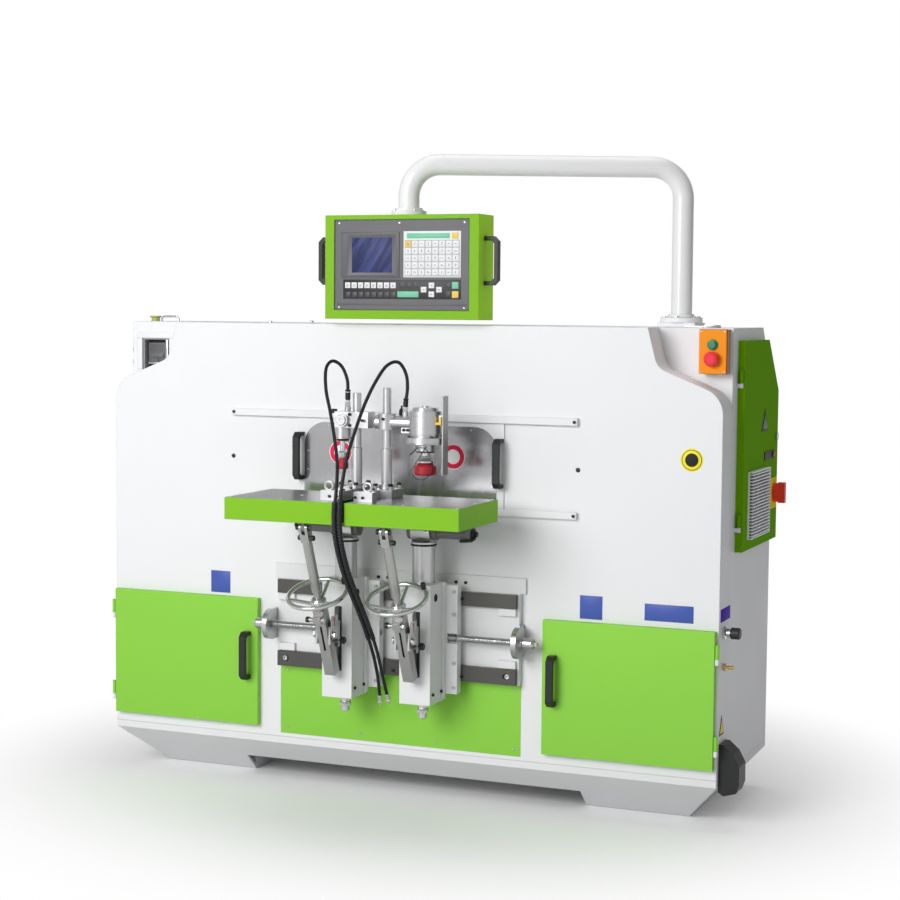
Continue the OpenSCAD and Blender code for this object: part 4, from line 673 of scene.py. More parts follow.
SPIGOT_Z = 420
bm = bmesh.new()
turned(bm, (0, REAR, SPIGOT_Z), TO_BACK, [(0, 84), (2.5, 84), (3, 82), (3, 64), (2, 63)], sides=64)
turned(bm, (0, REAR, SPIGOT_Z), TO_BACK, [(46, 60), (46, 62.7), (47, 64.2), (49, 65), (51, 64.2),
                                          (52, 62.7), (52, 60)], sides=64)
finished("dust_spigot_beads", bm, white_coat, "cabinet", smooth=40)
seats = [((x, REAR + 3, SPIGOT_Z + z), TO_BACK) for x, z in round_circle(6, 74, 30)]
screws("dust_spigot_screws", "cabinet", seats, 10, "hex", zinc, seed=4)

# Black plugs close the two fixing holes in the front. Low hex plugs close the lifting holes at the
# roof's left, and a folded plate covers the cable entry at its right.

ROOF = 1378                 # height of the roof sheet, in mm
TO_FRONT = (0, -1, 0)       # the direction that a part on the front faces
UP = (0, 0, 1)
bm = bmesh.new()
for x in (-544, 544):
    turned(bm, (x, 0, 980), TO_FRONT, [(0, 6.5), (1.2, 6.5), (2.2, 5.2), (2.6, 3)], sides=24)
finished("front_hole_plugs", bm, handle_nylon, "cabinet")
screws("roof_lifting_plugs", "cabinet", [((-485, y, ROOF), UP) for y in (120, 400)], 14, "hex", zinc,
       seed=5)
bm = bmesh.new()
block(bm, (812, 108, ROOF), (905, 150, ROOF + 5))
block(bm, (868, 104, ROOF + 4.8), (905, 146, ROOF + 8))
finished("roof_cable_plate", bm, zinc, "cabinet", bevel=0.001)

# Slide bed and its rails
# A painted iron casting bolted to the frame carries two blued steel rails, on which the saddles run.

bed_paint = coat("bed_casting_paint", (0.76, 0.76, 0.77), fineness=420, depth=0.0003, edge=0.003,
                 under=(0.3, 0.3, 0.3), dust=0.2)
rail_blue = coat("blued_rail_steel", (0.085, 0.083, 0.078), rough=0.42, fineness=300, stretch=(0.04, 1, 1),
                 vary=0.12, edge=0.001, wear=0.8, under=(0.4, 0.4, 0.4), metal=0.6)
ground_steel = coat("ground_steel", (0.50, 0.50, 0.505), rough=0.3, depth=0.00005, strength=0.15,
                    stretch=(0.05, 1, 1), vary=0.06, edge=0.0012, wear=0.3, under=(0.75, 0.75, 0.75),
                    dust=0.05, metal=1.0)
turned_steel = coat("turned_steel", (0.56, 0.56, 0.565), rough=0.22, depth=0.00004, strength=0.12,
                    stretch=(0.06, 0.06, 1), vary=0.05, edge=0.001, wear=0.2, under=(0.75, 0.75, 0.75),
                    dust=0.0, metal=1.0)
dress(bed_paint, "slide_bed", "left_saddle", "right_saddle", "spindle_head")
dress(rail_blue, "guide_rails")
dress(ground_steel, "lead_screw_bearings", "left_lead_screw", "right_lead_screw", "door_latch")
strut_steel = coat("strut_steel", (0.42, 0.415, 0.41), rough=0.34, fineness=700, strength=0.2,
                   stretch=(1, 1, 0.08), vary=0.12, edge=0.0012, wear=0.5, under=(0.6, 0.6, 0.6), dust=0.08,
                   metal=0.9)
column_chrome = coat("column_chrome", (0.52, 0.52, 0.525), rough=0.3, depth=0.00001, strength=0.02,
                     stretch=(1, 1, 0.1), vary=0.04, edge=0.001, wear=0.2, under=(0.7, 0.7, 0.7), dust=0.0,
                     metal=1.0, spread=0.012)
dress(strut_steel, "left_strut_tube", "right_strut_tube", "left_strut_rod", "right_strut_rod")
dress(column_chrome, "left_column", "right_column")
dress(turned_steel, "left_lift_screw", "right_lift_screw", "tenon_cutter")

seats = [((x, -26.9, 388), TO_FRONT) for x in (-352, 352)]
screws("rail_end_screws", "cabinet", seats, 15, "socket", zinc, seed=7)
seats = [((x, -35, z), TO_FRONT) for z in (378, 602) for x in (-215, 0, 215)]
screws("rail_screws", "cabinet", seats, 9, "socket", black_oxide, seed=8)
seats = [((x, -8, 645), TO_FRONT) for x in (-60, -30, 184, 214)]
screws("bed_ledge_screws", "cabinet", seats, 9, "socket", black_oxide, seed=9)
seats = [((x, y, z), (s, 0, 0)) for s, x in ((-1, -391.4), (1, 391.4)) for y, z in ((-30, 455), (-30, 525))]
screws("bearing_screws", "cabinet", seats, 11, "socket", black_oxide, seed=10)
seats = [((x, 0, z), TO_FRONT) for z in (175, 345) for x in (-360, -120, 120, 360)]
screws("lower_cover_screws", "cabinet", seats, 8, "pan", zinc, seed=11)

# Lead screws: ground steel with a 5 mm trapezoidal thread between plain journals, and a grey end cap
# with a square for the crank. A tree winds the thread as a spiral round the core.

wind_thread, start, end = group(
    "wind_thread", [("Core", "Float", 0.008), ("Crest", "Float", 0.010), ("Pitch", "Float", 0.005),
                    ("Turns", "Float", 60.0), ("Finish", "Material", None)],
    [("Thread", "Geometry")], "GeometryNodeTree",
)
deep = maths(wind_thread, "SUBTRACT")
middle = maths(wind_thread, "ADD")
half = maths(wind_thread, "MULTIPLY", {1: 0.5})
length = maths(wind_thread, "MULTIPLY")
helix = put(wind_thread, "GeometryNodeCurveSpiral", {"Resolution": 20})
crest = maths(wind_thread, "MULTIPLY", {1: 0.34})
root = maths(wind_thread, "MULTIPLY", {1: 0.62})
ridge = put(wind_thread, "GeometryNodeCurvePrimitiveQuadrilateral", {"Offset": 0.0}, mode="TRAPEZOID")
swing = put(wind_thread, "GeometryNodeTransform", {"Rotation": (0, 0, math.pi / 2)})
wound = put(wind_thread, "GeometryNodeCurveToMesh", {"Fill Caps": True})
painted = put(wind_thread, "GeometryNodeSetMaterial")
real = put(wind_thread, "GeometryNodeRealizeInstances")
wire(wind_thread, (start, "Crest", deep, 0), (start, "Core", deep, 1), (start, "Crest", middle, 0),
     (start, "Core", middle, 1), (middle, 0, half, 0), (start, "Pitch", length, 0),
     (start, "Turns", length, 1), (start, "Turns", helix, "Rotations"), (half, 0, helix, "Start Radius"),
     (half, 0, helix, "End Radius"), (length, 0, helix, "Height"), (start, "Pitch", crest, 0),
     (start, "Pitch", root, 0), (deep, 0, ridge, "Height"), (root, 0, ridge, "Bottom Width"),
     (crest, 0, ridge, "Top Width"), (ridge, 0, swing, "Geometry"), (helix, 0, wound, "Curve"),
     (swing, 0, wound, "Profile Curve"), (wound, 0, real, 0), (real, 0, painted, "Geometry"),
     (start, "Finish", painted, "Material"), (painted, 0, end, "Thread"))


SCREW_Y, SCREW_Z = -51, 490      # the lead screws' axis, in mm
STATIONS = (("left", -1), ("right", 1))


def thread(bm, place, core, crest, turns):
    """A wound thread in millimetres, its axis along Z before place moves it."""
    piece = bpy.data.objects.new("thread", bpy.data.meshes.new("thread"))
    bpy.context.scene.collection.objects.link(piece)
    made = grown(piece, wind_thread, {"Core": core / 1000, "Crest": crest / 1000, "Turns": float(turns)})
    made.transform(place)
    bm.from_mesh(made)
    bpy.data.objects.remove(piece)
    bpy.data.meshes.remove(made)


for side, s in STATIONS:
    bm = bmesh.new()
    turned(bm, (s * 62, SCREW_Y, SCREW_Z), (s, 0, 0), [(0, 9), (1, 10), (8, 10), (8.2, 8.2), (326, 8.2),
                                                       (326.2, 10), (354, 10)], sides=32)
    turned(bm, (s * 407.6, SCREW_Y, SCREW_Z), (s, 0, 0), [(0, 12), (0, 16), (1, 17), (26, 17), (29, 15),
                                                          (32.2, 11), (32.2, 8)], sides=40)
    turned(bm, (s * 439, SCREW_Y, SCREW_Z), (s, 0, 0), [(0, 7.5), (8, 7.5), (9, 6.6)], sides=4)
    start_x = 71 if s > 0 else -387
    thread(bm, Matrix.Translation(mm(start_x, SCREW_Y, SCREW_Z)) @ Matrix.Rotation(math.pi / 2, 4, "Y"),
           8.1, 10, 63)
    screw = finished(side + "_lead_screw_threaded", bm, ground_steel, side + "_lead_screw",
                     smooth=30)
    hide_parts(side + "_lead_screw")

# Tables, fences and clamps
# Each table top is a ground iron plate in a green tray. Fences and clamps are light anodised
# aluminium; the hand wheels are chrome.

table_iron = coat("ground_table_iron", (0.17, 0.17, 0.18), rough=0.36, fineness=700, depth=0.0001,
                  stretch=(0.05, 1, 1), vary=0.18, edge=0.001, wear=0.8, under=(0.5, 0.5, 0.5), dust=0.12,
                  metal=0.85, spread=0.1)
fence_alu = coat("anodised_aluminium", (0.60, 0.60, 0.61), rough=0.34, depth=0.00006, strength=0.15,
                 edge=0.0012, wear=0.2, under=(0.9, 0.9, 0.9), dust=0.04, metal=0.8)
wheel_chrome = coat("polished_chrome", (0.55, 0.55, 0.56), rough=0.17, fineness=90, depth=0.0001,
                    strength=0.05, vary=0.02, edge=0.001, wear=0.0, dust=0.0, metal=0.75, spread=0.03)
red_pad = coat("red_urethane", (0.42, 0.022, 0.035), fineness=500, vary=0.12, edge=0.002, wear=0.2,
               under=(0.5, 0.1, 0.1), dust=0.1, second=[("Z", 1, 1.0055, (0.66, 0.66, 0.67), 1.0, -0.2)])
dress(table_iron, "left_table_top", "right_table_top")
for side, s in STATIONS:
    # Each tray's inner end, in the gap between the two tables, is painted near black: painted shade.
    tray_enamel_gap_shade = coat(side + "_tray_enamel_gap_shade", (0.212, 0.485, 0.02), rough=0.5, fineness=260, shine=0.12,
                       depth=0.0002, strength=0.1, edge=0.0022, wear=0.3, under=(0.55, 0.72, 0.4),
                       dust=0.08, second=[("Z", -1, 0.8379, (0.20, 0.20, 0.21), 0.3, 0.05),
                                          ("X", -s, s * 0.0164, (0.012, 0.02, 0.018), 0.0, 0.05),
                                          ("Y", 1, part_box(side + "_table_frame")[1][1] - 0.0005,
                                           (0.20, 0.20, 0.21), 0.3, 0.0)])
    dress(tray_enamel_gap_shade, side + "_table_frame")
# On the right clamp, the stop plate beyond X 0.2186 m is painted dark grey: painted shade.
clamp_alu_plate_shade = coat("clamp_aluminium_plate_shade", (0.56, 0.56, 0.57), rough=0.34, depth=0.00006, strength=0.15,
                 edge=0.0012, wear=0.2, under=(0.9, 0.9, 0.9), dust=0.04, metal=0.85,
                 second=[("X", 1, 0.2186, (0.30, 0.30, 0.30), 0.9, 0.0)])
dress(fence_alu, "left_fence", "right_fence")
dress(clamp_alu_plate_shade, "left_clamp_head", "right_clamp_head")
dress(wheel_chrome, "left_hand_wheel", "right_hand_wheel")
dress(red_pad, "left_clamp_rod", "right_clamp_rod")

# Station hardware: a black wiper ring at each column's head, a lock bush and screws on the saddle's
# block, nuts on the strut's bracket and a tilt scale with a red pointer.

ring_black = coat("wiper_rubber", (0.012, 0.012, 0.013), rough=0.55, fineness=700, vary=0.1, edge=0.0006,
                  wear=0.0, dust=0.1)
red_paint = coat("red_paint", (0.55, 0.02, 0.02), fineness=600, vary=0.06, edge=0.0005, wear=0.1,
                 under=(0.6, 0.2, 0.2), dust=0.05)
STATION_X = 121.5            # from the machine's middle to a station's middle, in mm
COLUMN_Y = -100              # the column's axis
PIVOT_Y, PIVOT_Z = -235, 505     # the strut's lower pivot
for side, s in STATIONS:
    xc = s * STATION_X
    bm = bmesh.new()
    turned(bm, (xc, COLUMN_Y, 757), UP, [(0, 32.2), (0, 36.2), (1, 37), (5, 37), (6, 36.2), (6, 32.2)],
           sides=56)
    finished(side + "_column_wiper", bm, ring_black, side + "_column", smooth=40)
    bm = bmesh.new()
    for x in (-1, 1):
        turned(bm, (xc + x * 46.6, -122, 613), (x, 0, 0), [(0, 11), (1.6, 11), (2.4, 9.5), (2.4, 7),
                                                           (0.6, 6.4)], sides=28)
    finished(side + "_block_bushes", bm, ring_black, side + "_saddle")
    seats = [((xc + x * 80, -63.3, z), TO_FRONT) for x in (-1, 1) for z in (350, 420, 560, 625)]
    seats += [((xc + x * 36, -158, 634), TO_FRONT) for x in (-1, 1)]
    screws(side + "_saddle_screws", side + "_saddle", seats, 10, "socket", zinc, seed=12 + s)
    seats = [((xc + x * 47, y, z), (x, 0, 0)) for x in (-1, 1) for y, z in ((-140, 340), (-80, 340))]
    screws(side + "_block_screws", side + "_saddle", seats, 9, "socket", black_oxide, seed=20 + s)

    seats = [((xc + x * 27, PIVOT_Y, PIVOT_Z), (x, 0, 0)) for x in (-1, 1)]
    screws(side + "_pivot_nuts", side + "_column", seats, 19, "hex", zinc, seed=30 + s)
    bm = bmesh.new()
    block(bm, (xc + 23.2, -246, 508), (xc + 25.4, -204, 560))
    turned(bm, (xc + 23.2, -225, 536), (1, 0, 0), [(0, 12), (2.4, 12), (3.2, 10.5)], sides=28)
    finished(side + "_tilt_scale", bm, fence_alu, side + "_column", bevel=0.0005)
    bm = bmesh.new()
    block(bm, (xc + 25.6, -229, 530), (xc + 27, -226, 556))
    finished(side + "_scale_pointer", bm, red_paint, side + "_column")
    bm = bmesh.new()
    turned(bm, (xc + 26.5, -196, 486), (1, 0, 0), [(0, 4), (5, 4), (5, 8), (7, 10), (15, 10.5), (18, 8),
                                                   (18, 0)], sides=28)
    finished(side + "_bracket_knob", bm, handle_nylon, side + "_column", smooth=40)

    # A black sealing strip covers the slot in the block's face, beside the strut's foot.
    bm = bmesh.new()
    block(bm, (xc + 5, -159.2, 390), (xc + 15, -157.9, 576))
    finished(side + "_slot_strip", bm, ring_black, side + "_saddle", bevel=0.0004)

    # Lift screw's nose under the block: a washer over the hexagon, then a turned stud.
    bm = bmesh.new()
    turned(bm, (xc, COLUMN_Y, 305.2), UP, [(0, 9), (0, 18.5), (1.5, 19), (3.5, 19), (5, 18.2), (5, 9)],
           sides=40)
    turned(bm, (xc, COLUMN_Y, 290.8), (0, 0, -1), [(0, 9.5), (0, 16.5), (1, 17), (11, 17), (12, 16),
                                                   (12, 9.5)], sides=6)
    turned(bm, (xc, COLUMN_Y, 279), (0, 0, -1), [(0, 12), (15, 12), (17, 10), (17, 0)], sides=32)
    finished(side + "_lift_screw_washer", bm, zinc, side + "_lift_screw", smooth=40)

# A locking lever hangs from the outer boss under the right table, and the left boss has a plain bush.
# Cross-head screws hold the iron top. Black screws hold the tilt pin and clamp the strut's fork.

RIM_RADIUS = 82.5
STRUT_RUN = Vector((0, -130, 317))       # from the strut's lower pivot to its upper pivot, in mm
for side, s in STATIONS:
    xc = s * STATION_X
    bm = bmesh.new()
    turned(bm, (xc + s * 148.2, COLUMN_Y, 796), (s, 0, 0), [(0, 15), (6, 15), (8, 13), (8, 8), (14, 8),
                                                            (15, 7)], sides=32)
    if side == "right":
        lever = [mm(xc + 158, -104, 800), mm(xc + 160, -110, 792), mm(xc + 159, -114, 785),
                 mm(xc + 152, -117, 780), mm(xc + 136, -119, 778), mm(xc + 118, -120, 777)]
        swept(bm, lever, 0.0045, sides=14)
        finished("right_tilt_lock_lever", bm, black_oxide, "right_table", smooth=50)
    else:
        finished("left_tilt_lock_bush", bm, black_oxide, "left_table", smooth=50)

    x_out, x_in = s * 340, s * 27
    seats = [((x, y, 898.2), UP) for x in (x_out, (x_out + x_in) / 2) for y in (-388, -260, -131)]
    screws(side + "_table_screws", side + "_table", seats, 9, "pan", zinc, seed=40 + s)
    pivot = Vector((xc, PIVOT_Y, PIVOT_Z))
    seats = [(pivot + STRUT_RUN - Vector((17, 0, 0)), (-1, 0, 0))]
    screws(side + "_upper_pin_head", side + "_table", seats, 15, "socket", black_oxide, seed=42 + s)
    low = pivot + STRUT_RUN * (310.6 / 342.6) - Vector((16, 0, 0))
    screws(side + "_fork_screw", side + "_strut_rod", [(low, (-1, 0, 0)),
                                                       (low + Vector((32, 0, 0)), (1, 0, 0))], 15, "socket",
           black_oxide, seed=44 + s)

    # The strut's clamp bolt has a black head at the left and a nut at the right.
    up = STRUT_RUN.normalized()
    ahead = up.cross(Vector((1, 0, 0)))
    bolt = pivot + up * 62 - ahead * 25
    screws(side + "_tube_clamp_head", side + "_strut_tube", [(bolt + Vector((-26, 0, 0)), (-1, 0, 0))], 17,
           "socket", black_oxide, seed=46 + s)
    screws(side + "_tube_clamp_nut", side + "_strut_tube", [(bolt + Vector((16, 0, 0)), (1, 0, 0))], 16,
           "hex", zinc, seed=48 + s)

    # A short crank grip stands on each hand wheel's rim.
    rim = pivot + up * 133 + (Vector((1, 0, 0)) + ahead) * math.sqrt(0.5) * RIM_RADIUS
    bm = bmesh.new()
    turned(bm, rim + up * 5, up, [(0, 5), (0, 7.2), (2, 7.6), (3, 6.2), (9, 7.2), (14, 7.4), (18, 6),
                                  (19.4, 0)], sides=28)
    finished(side + "_wheel_grip", bm, black_oxide, side + "_hand_wheel", smooth=50)

# Fences: black socket screws hold the post's base and the fence's blocks. Each clamp post carries a
# turned collar, and a cap closes its top.

POST_X, POST_Y = 46, -190        # the clamp posts' axes, in mm
for side, s in STATIONS:
    seats = [((s * x, POST_Y + y, 932.2), UP) for x, y in ((30, -40), (76, -40), (76, 20), (30, 42))]
    screws(side + "_post_base_screws", side + "_table", seats, 13.5, "socket", black_oxide, seed=50 + s)
    seats = [((s * 50, -355, 911), TO_FRONT), ((s * 28, -355, 911), TO_FRONT), ((s * 34, -300, 923.2), UP),
             ((s * 34, -250, 923.2), UP)]
    screws(side + "_fence_screws", side + "_table", seats, 8, "socket", black_oxide, seed=52 + s)
    top = 1187 if s < 0 else 1203
    bm = bmesh.new()
    turned(bm, (s * POST_X, POST_Y, top - 1), UP, [(0, 11.6), (1.4, 11.2), (2.0, 9.5), (1.4, 3), (0.4, 0)],
           sides=40)
    turned(bm, (s * POST_X, POST_Y, 1033), UP, [(0, 15.1), (1.6, 15), (3, 13.6), (3, 12.1)], sides=40)
    finished(side + "_post_caps", bm, fence_alu, side + "_table", smooth=40)

# Left clamp: a split aluminium block on the post, with a boss, a small cylinder with bright end rings
# and a push-in fitting on top. Right clamp: a round arm with a large cylinder between ground flanges.

ground_alu = coat("turned_aluminium", (0.60, 0.60, 0.61), rough=0.27, fineness=700, depth=0.00005,
                  strength=0.12, stretch=(0.06, 0.06, 1), edge=0.0008, wear=0.1, under=(0.9, 0.9, 0.9),
                  dust=0.0, metal=0.85)
lamp_yellow = coat("yellow_paint", (0.78, 0.55, 0.03), rough=0.42, fineness=500, vary=0.05, edge=0.0006,
                   wear=0.25, under=(0.5, 0.4, 0.2), dust=0.05)


LEFT_X, RIGHT_X = -90, 163       # the two cylinders' axes, in mm


def elbow(bm_metal, bm_black, foot, lean, rise, size):
    """A push-in fitting: a hexagon in metal with a black swivel body and collar, up to the hose."""
    turned(bm_metal, foot, UP, [(0, size), (rise * 0.28, size)], sides=6)
    turned(bm_metal, (foot[0], foot[1], foot[2] + rise * 0.28), UP,
           [(0, size * 0.62), (rise * 0.14, size * 0.62)], sides=24)
    turned(bm_black, (foot[0], foot[1], foot[2] + rise * 0.40), lean,
           [(0, size * 0.5), (0, size * 0.78), (rise * 0.08, size * 0.86), (rise * 0.42, size * 0.86),
            (rise * 0.46, size * 0.72), (rise * 0.5, size * 0.9), (rise * 0.58, size * 0.9),
            (rise * 0.6, size * 0.7)], sides=28)


metal, black = bmesh.new(), bmesh.new()
elbow(metal, black, (-75, POST_Y, 1148), UP, 48, 8.6)
turned(metal, (-80, -224, 1112), TO_FRONT, [(0, 12), (0, 15), (3, 15), (4, 14), (4, 5), (2.5, 4), (2.5, 0)],
       sides=36)
for z in (1100, 1062):
    turned(metal, (LEFT_X, POST_Y, z - 4), UP, [(0, 20), (0, 22.4), (1, 23), (4, 23), (5, 22.4), (5, 20)],
           sides=48)
turned(black, (LEFT_X, POST_Y, 1052), UP, [(0, 9), (0, 17.5), (5.6, 17.5), (5.6, 9)], sides=40)
turned(black, (-108, -205, 1136), (-1, -0.2, 0), [(-6, 4), (-6, 6), (6, 6.4), (12, 5), (12, 0)], sides=24)
turned(metal, (-106, POST_Y, 1112), (-1, 0, 0), [(0, 8), (2, 8), (3, 7), (3, 3)], sides=6)
finished("left_clamp_metal", metal, ground_alu, "left_clamp_head", smooth=40)
finished("left_clamp_black", black, ring_black, "left_clamp_head", smooth=40)
seats = [((-16, -218, 1112), TO_FRONT), ((-58, -212, 1128), TO_FRONT), ((-58, -212, 1097), TO_FRONT)]
screws("left_clamp_screws", "left_clamp_head", seats, 9, "socket", black_oxide, seed=60)

metal, black = bmesh.new(), bmesh.new()
elbow(metal, black, (102, POST_Y, 1136), (0.06, 0, 1), 40, 8.2)
turned(metal, (13.5, POST_Y, 1108), (-1, 0, 0), [(-3, 19.2), (0, 19), (2, 17.5), (2, 9), (0.5, 8),
                                                 (0.5, 0)], sides=40)
turned(metal, (RIGHT_X, POST_Y, 1149), UP, [(0, 34), (3, 34), (4, 32), (4, 10), (7, 10), (8, 9), (8, 0)],
       sides=56)
for z in (1096, 1128):
    turned(metal, (RIGHT_X, POST_Y, z), UP, [(0, 44), (0.4, 45.3), (2.4, 45.3), (2.8, 44)], sides=64)
turned(metal, (RIGHT_X, POST_Y, 1051.6), UP, [(0, 50), (0, 54.3), (1, 55), (3, 55), (4, 54.2)], sides=64)
turned(black, (RIGHT_X, POST_Y, 1028), UP, [(0, 13), (0, 25), (1, 26), (4.2, 26), (4.2, 13)], sides=44)
turned(black, (84, -178, 1136), (0.2, -0.3, 0.9), [(-8, 4), (-8, 6), (4, 6.4), (10, 5), (10, 2.6),
                                                   (20, 2.4)], sides=24)
finished("right_clamp_metal", metal, ground_alu, "right_clamp_head", smooth=40)
finished("right_clamp_black", black, ring_black, "right_clamp_head", smooth=40)
seats = [((RIGHT_X + x, POST_Y + y, 1070), UP) for x, y in round_circle(4, 49, 45)]
seats += [(spot, TO_FRONT) for spot in ((46, -215, 1118), (104, -204, 1089), (116, -204, 1089))]
screws("right_clamp_screws", "right_clamp_head", seats, 8.5, "socket", black_oxide, seed=61)

# The right clamp's stop plate carries a yellow clip, and a thin wire guard hangs beside the foot.
bm = bmesh.new()
block(bm, (198, -213, 1106), (219, -201, 1113))
block(bm, (198, -213, 1113), (203, -201, 1128))
block(bm, (214, -213, 1113), (218.8, -201, 1128))
finished("right_clamp_clip", bm, lamp_yellow, "right_clamp_head", bevel=0.0006)
bm = bmesh.new()
loop = []
for k in range(33):
    a = math.radians(-60 + 300 * k / 32)
    loop.append(mm(170 + 36 * math.sin(a), -238 + 4 * math.cos(3 * a), 1000 + 44 * math.cos(a)))
swept(bm, loop, 0.0011, sides=8)
swept(bm, [loop[0], mm(150, -226, 1036), mm(148, -212, 1046), mm(148, -205, 1052)], 0.0011, sides=8)
swept(bm, [loop[-1], mm(176, -226, 1040), mm(178, -212, 1047), mm(178, -205, 1052)], 0.0011, sides=8)
finished("right_wire_guard", bm, black_oxide, "right_clamp_head", smooth=60)

# Pressure feet: red urethane cast round a steel seat; the right foot is faceted, with a grey ring.
bm = bmesh.new()
turned(bm, (RIGHT_X, POST_Y, 999.5), UP, [(0, 22), (0, 27), (1, 28), (5, 28), (8, 24), (14, 21),
                                          (14, 12.2)], sides=44)
turned(bm, (RIGHT_X, POST_Y, 1007), UP, [(0, 12.1), (0, 17), (10, 17), (12, 15.5), (12, 12.1)], sides=6)
finished("right_foot_seat", bm, ground_alu, "right_clamp_rod", smooth=40)
bm = bmesh.new()
turned(bm, (LEFT_X, POST_Y, 1003.5), UP, [(0, 8.2), (0, 12), (2, 13), (16, 13), (20, 10.5), (20, 8.2)],
       sides=8)
finished("left_foot_seat", bm, ground_alu, "left_clamp_rod", smooth=30)

# Shield
# A white sliding plate with a brushed stainless sheet riveted to it covers the arch in the front.

stainless = coat("brushed_stainless", (0.38, 0.38, 0.39), rough=0.2, fineness=700, depth=0.00004,
                 strength=0.12, stretch=(1, 1, 0.03), vary=0.05, edge=0.001, wear=0.1,
                 under=(0.7, 0.7, 0.7), dust=0.0, metal=0.9,
                 second=[("Y", 1, -0.35955, (0.80, 0.805, 0.82), 0.0, 0.12)])
dress(stainless, "shield_plate")

# Pendant and its arm
# A white tubular arm holds the lime green control box, with a grey membrane panel set into it.

arm_coat = coat("arm_powder_coat", (0.80, 0.80, 0.805), rough=0.3, fineness=1400, depth=0.0001,
                strength=0.15, vary=0.01, edge=0.003, wear=0.15, dust=0.1, gloss=0.3)
panel_grey = coat("panel_grey", (0.105, 0.105, 0.115), rough=0.42, fineness=1500, strength=0.2, edge=0.001,
                  wear=0.2, under=(0.3, 0.3, 0.3), dust=0.05)
dress(arm_coat, "swing_arm")
case_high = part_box("pendant_case")[1]
# The case's right side face, at its largest X, is painted a much lighter green: painted light.
case_enamel_lit_side = coat("case_enamel_lit_side", (0.212, 0.47, 0.018), rough=0.5, fineness=260, shine=0.12, depth=0.0002,
                   strength=0.1, edge=0.0022, wear=0.2, under=(0.55, 0.72, 0.4), dust=0.08,
                   second=[("X", 1, case_high[0] - 0.0006, (0.42, 0.85, 0.02), 0.0, 0.0),
                           ("Z", 1, 1.6903, (0.80, 0.80, 0.805), 0.0, 0.0)])
dress(case_enamel_lit_side, "pendant_case")
dress(panel_grey, "control_panel")

# The pendant's face: a sunk bezel with a blue-violet screen, a white key sheet with a mint bar, and a
# black strip with white, black, mint and yellow keys. All keys are domed membrane keys without print.

# The ramp (shine) gives the screen lighter diagonal streaks: a painted reflection on the glass.
screen_glass, tree = new_material("screen_glass")
place = put(tree, "ShaderNodeTexCoord")
lean = put(tree, "ShaderNodeMapping", {"Rotation": (0, math.radians(35), 0), "Scale": (0.02, 0.1, 0.16)},
           vector_type="TEXTURE")
glare_streak = put(tree, "ShaderNodeTexNoise", {"Scale": 1.0, "Detail": 3.0, "Roughness": 0.6})
shine = put(tree, "ShaderNodeValToRGB")
shine.color_ramp.elements[0].position = 0.40
shine.color_ramp.elements[0].color = (0.020, 0.026, 0.095, 1)
shine.color_ramp.elements[1].position = 0.68
shine.color_ramp.elements[1].color = (0.065, 0.085, 0.250, 1)
skin = put(tree, "ShaderNodeBsdfPrincipled", {"Roughness": 0.5, "IOR": 1.3})
out = put(tree, "ShaderNodeOutputMaterial")
wire(tree, (place, "Object", lean, "Vector"), (lean, 0, glare_streak, "Vector"), (glare_streak, "Fac", shine, "Fac"),
     (shine, "Color", skin, "Base Color"), (skin, 0, out, 0))


def moulded(name, colour, rough, vary, wear=0.1, dust=0.05, edge=0.0006, **others):
    """A smooth moulded plastic or a printed film, hardly worn."""
    return coat(name, colour, rough=rough, fineness=1200, vary=vary, edge=edge, wear=wear, dust=dust,
                **others)


key_white = moulded("key_white", (0.74, 0.75, 0.76), 0.45, 0.04, under=(0.5, 0.5, 0.5))
key_gap = moulded("key_sheet_grey", (0.42, 0.43, 0.44), 0.5, 0.05)
strip_black = moulded("key_strip_black", (0.022, 0.022, 0.024), 0.42, 0.1, wear=0.15, under=(0.1, 0.1, 0.1))
key_dark = moulded("key_black", (0.05, 0.05, 0.054), 0.4, 0.1, wear=0.2, under=(0.16, 0.16, 0.16))
key_mint = moulded("key_mint", (0.16, 0.53, 0.33), 0.42, 0.05, under=(0.4, 0.6, 0.5))
key_yellow = moulded("key_yellow", (0.74, 0.53, 0.09), 0.42, 0.05, under=(0.7, 0.6, 0.3))
legend = moulded("key_legend", (0.16, 0.16, 0.17), 0.5, 0.1, wear=0, dust=0, edge=0.0003)

FACE = -47.0                 # depth of the recessed panel, in mm
LEFT, TOP = -186.5, 1676.0   # the recess's left and top edges


def on_face(bm, x0, x1, z0, z1, rise, sunk=0.3):
    """A flat piece on the panel: millimetres from the recess's left and top edges, and its height."""
    block(bm, (LEFT + x0, FACE - rise, TOP - z1), (LEFT + x1, FACE + sunk, TOP - z0))


bm = bmesh.new()
frames = []
for x0, x1, z0, z1, rise in ((21, 203, 35, 164, -0.2), (21, 203, 35, 164, 2.0), (24, 200, 38, 161, 2.6),
                             (38, 196, 40, 160, 2.6), (48, 186, 45, 158, 0.4)):
    frames.append([bm.verts.new(mm(LEFT + x, FACE - rise, TOP - z))
                   for x, z in ((x0, z0), (x1, z0), (x1, z1), (x0, z1))])
join_rings(bm, frames)
bm.faces.new(frames[0])
bm.faces.new(frames[-1])
on_face(bm, 8, 409, 239, 242.5, 1.2)
on_face(bm, 26, 393, 168, 171, 0.8)
finished("panel_bezels", bm, panel_grey, "pendant", bevel=0.0005)
bm = bmesh.new()
on_face(bm, 50, 184, 47, 156, 0.35, sunk=-0.3)
finished("screen_frame", bm, key_dark, "pendant")
bm = bmesh.new()
on_face(bm, 54, 180, 50.5, 150, 0.9, sunk=-0.3)
finished("screen_glass", bm, screen_glass, "pendant", bevel=0.0004)
bm = bmesh.new()
on_face(bm, 216, 392, 33, 163.5, 0.5)
finished("key_sheet_border", bm, key_white, "pendant", bevel=0.0004)
bm = bmesh.new()
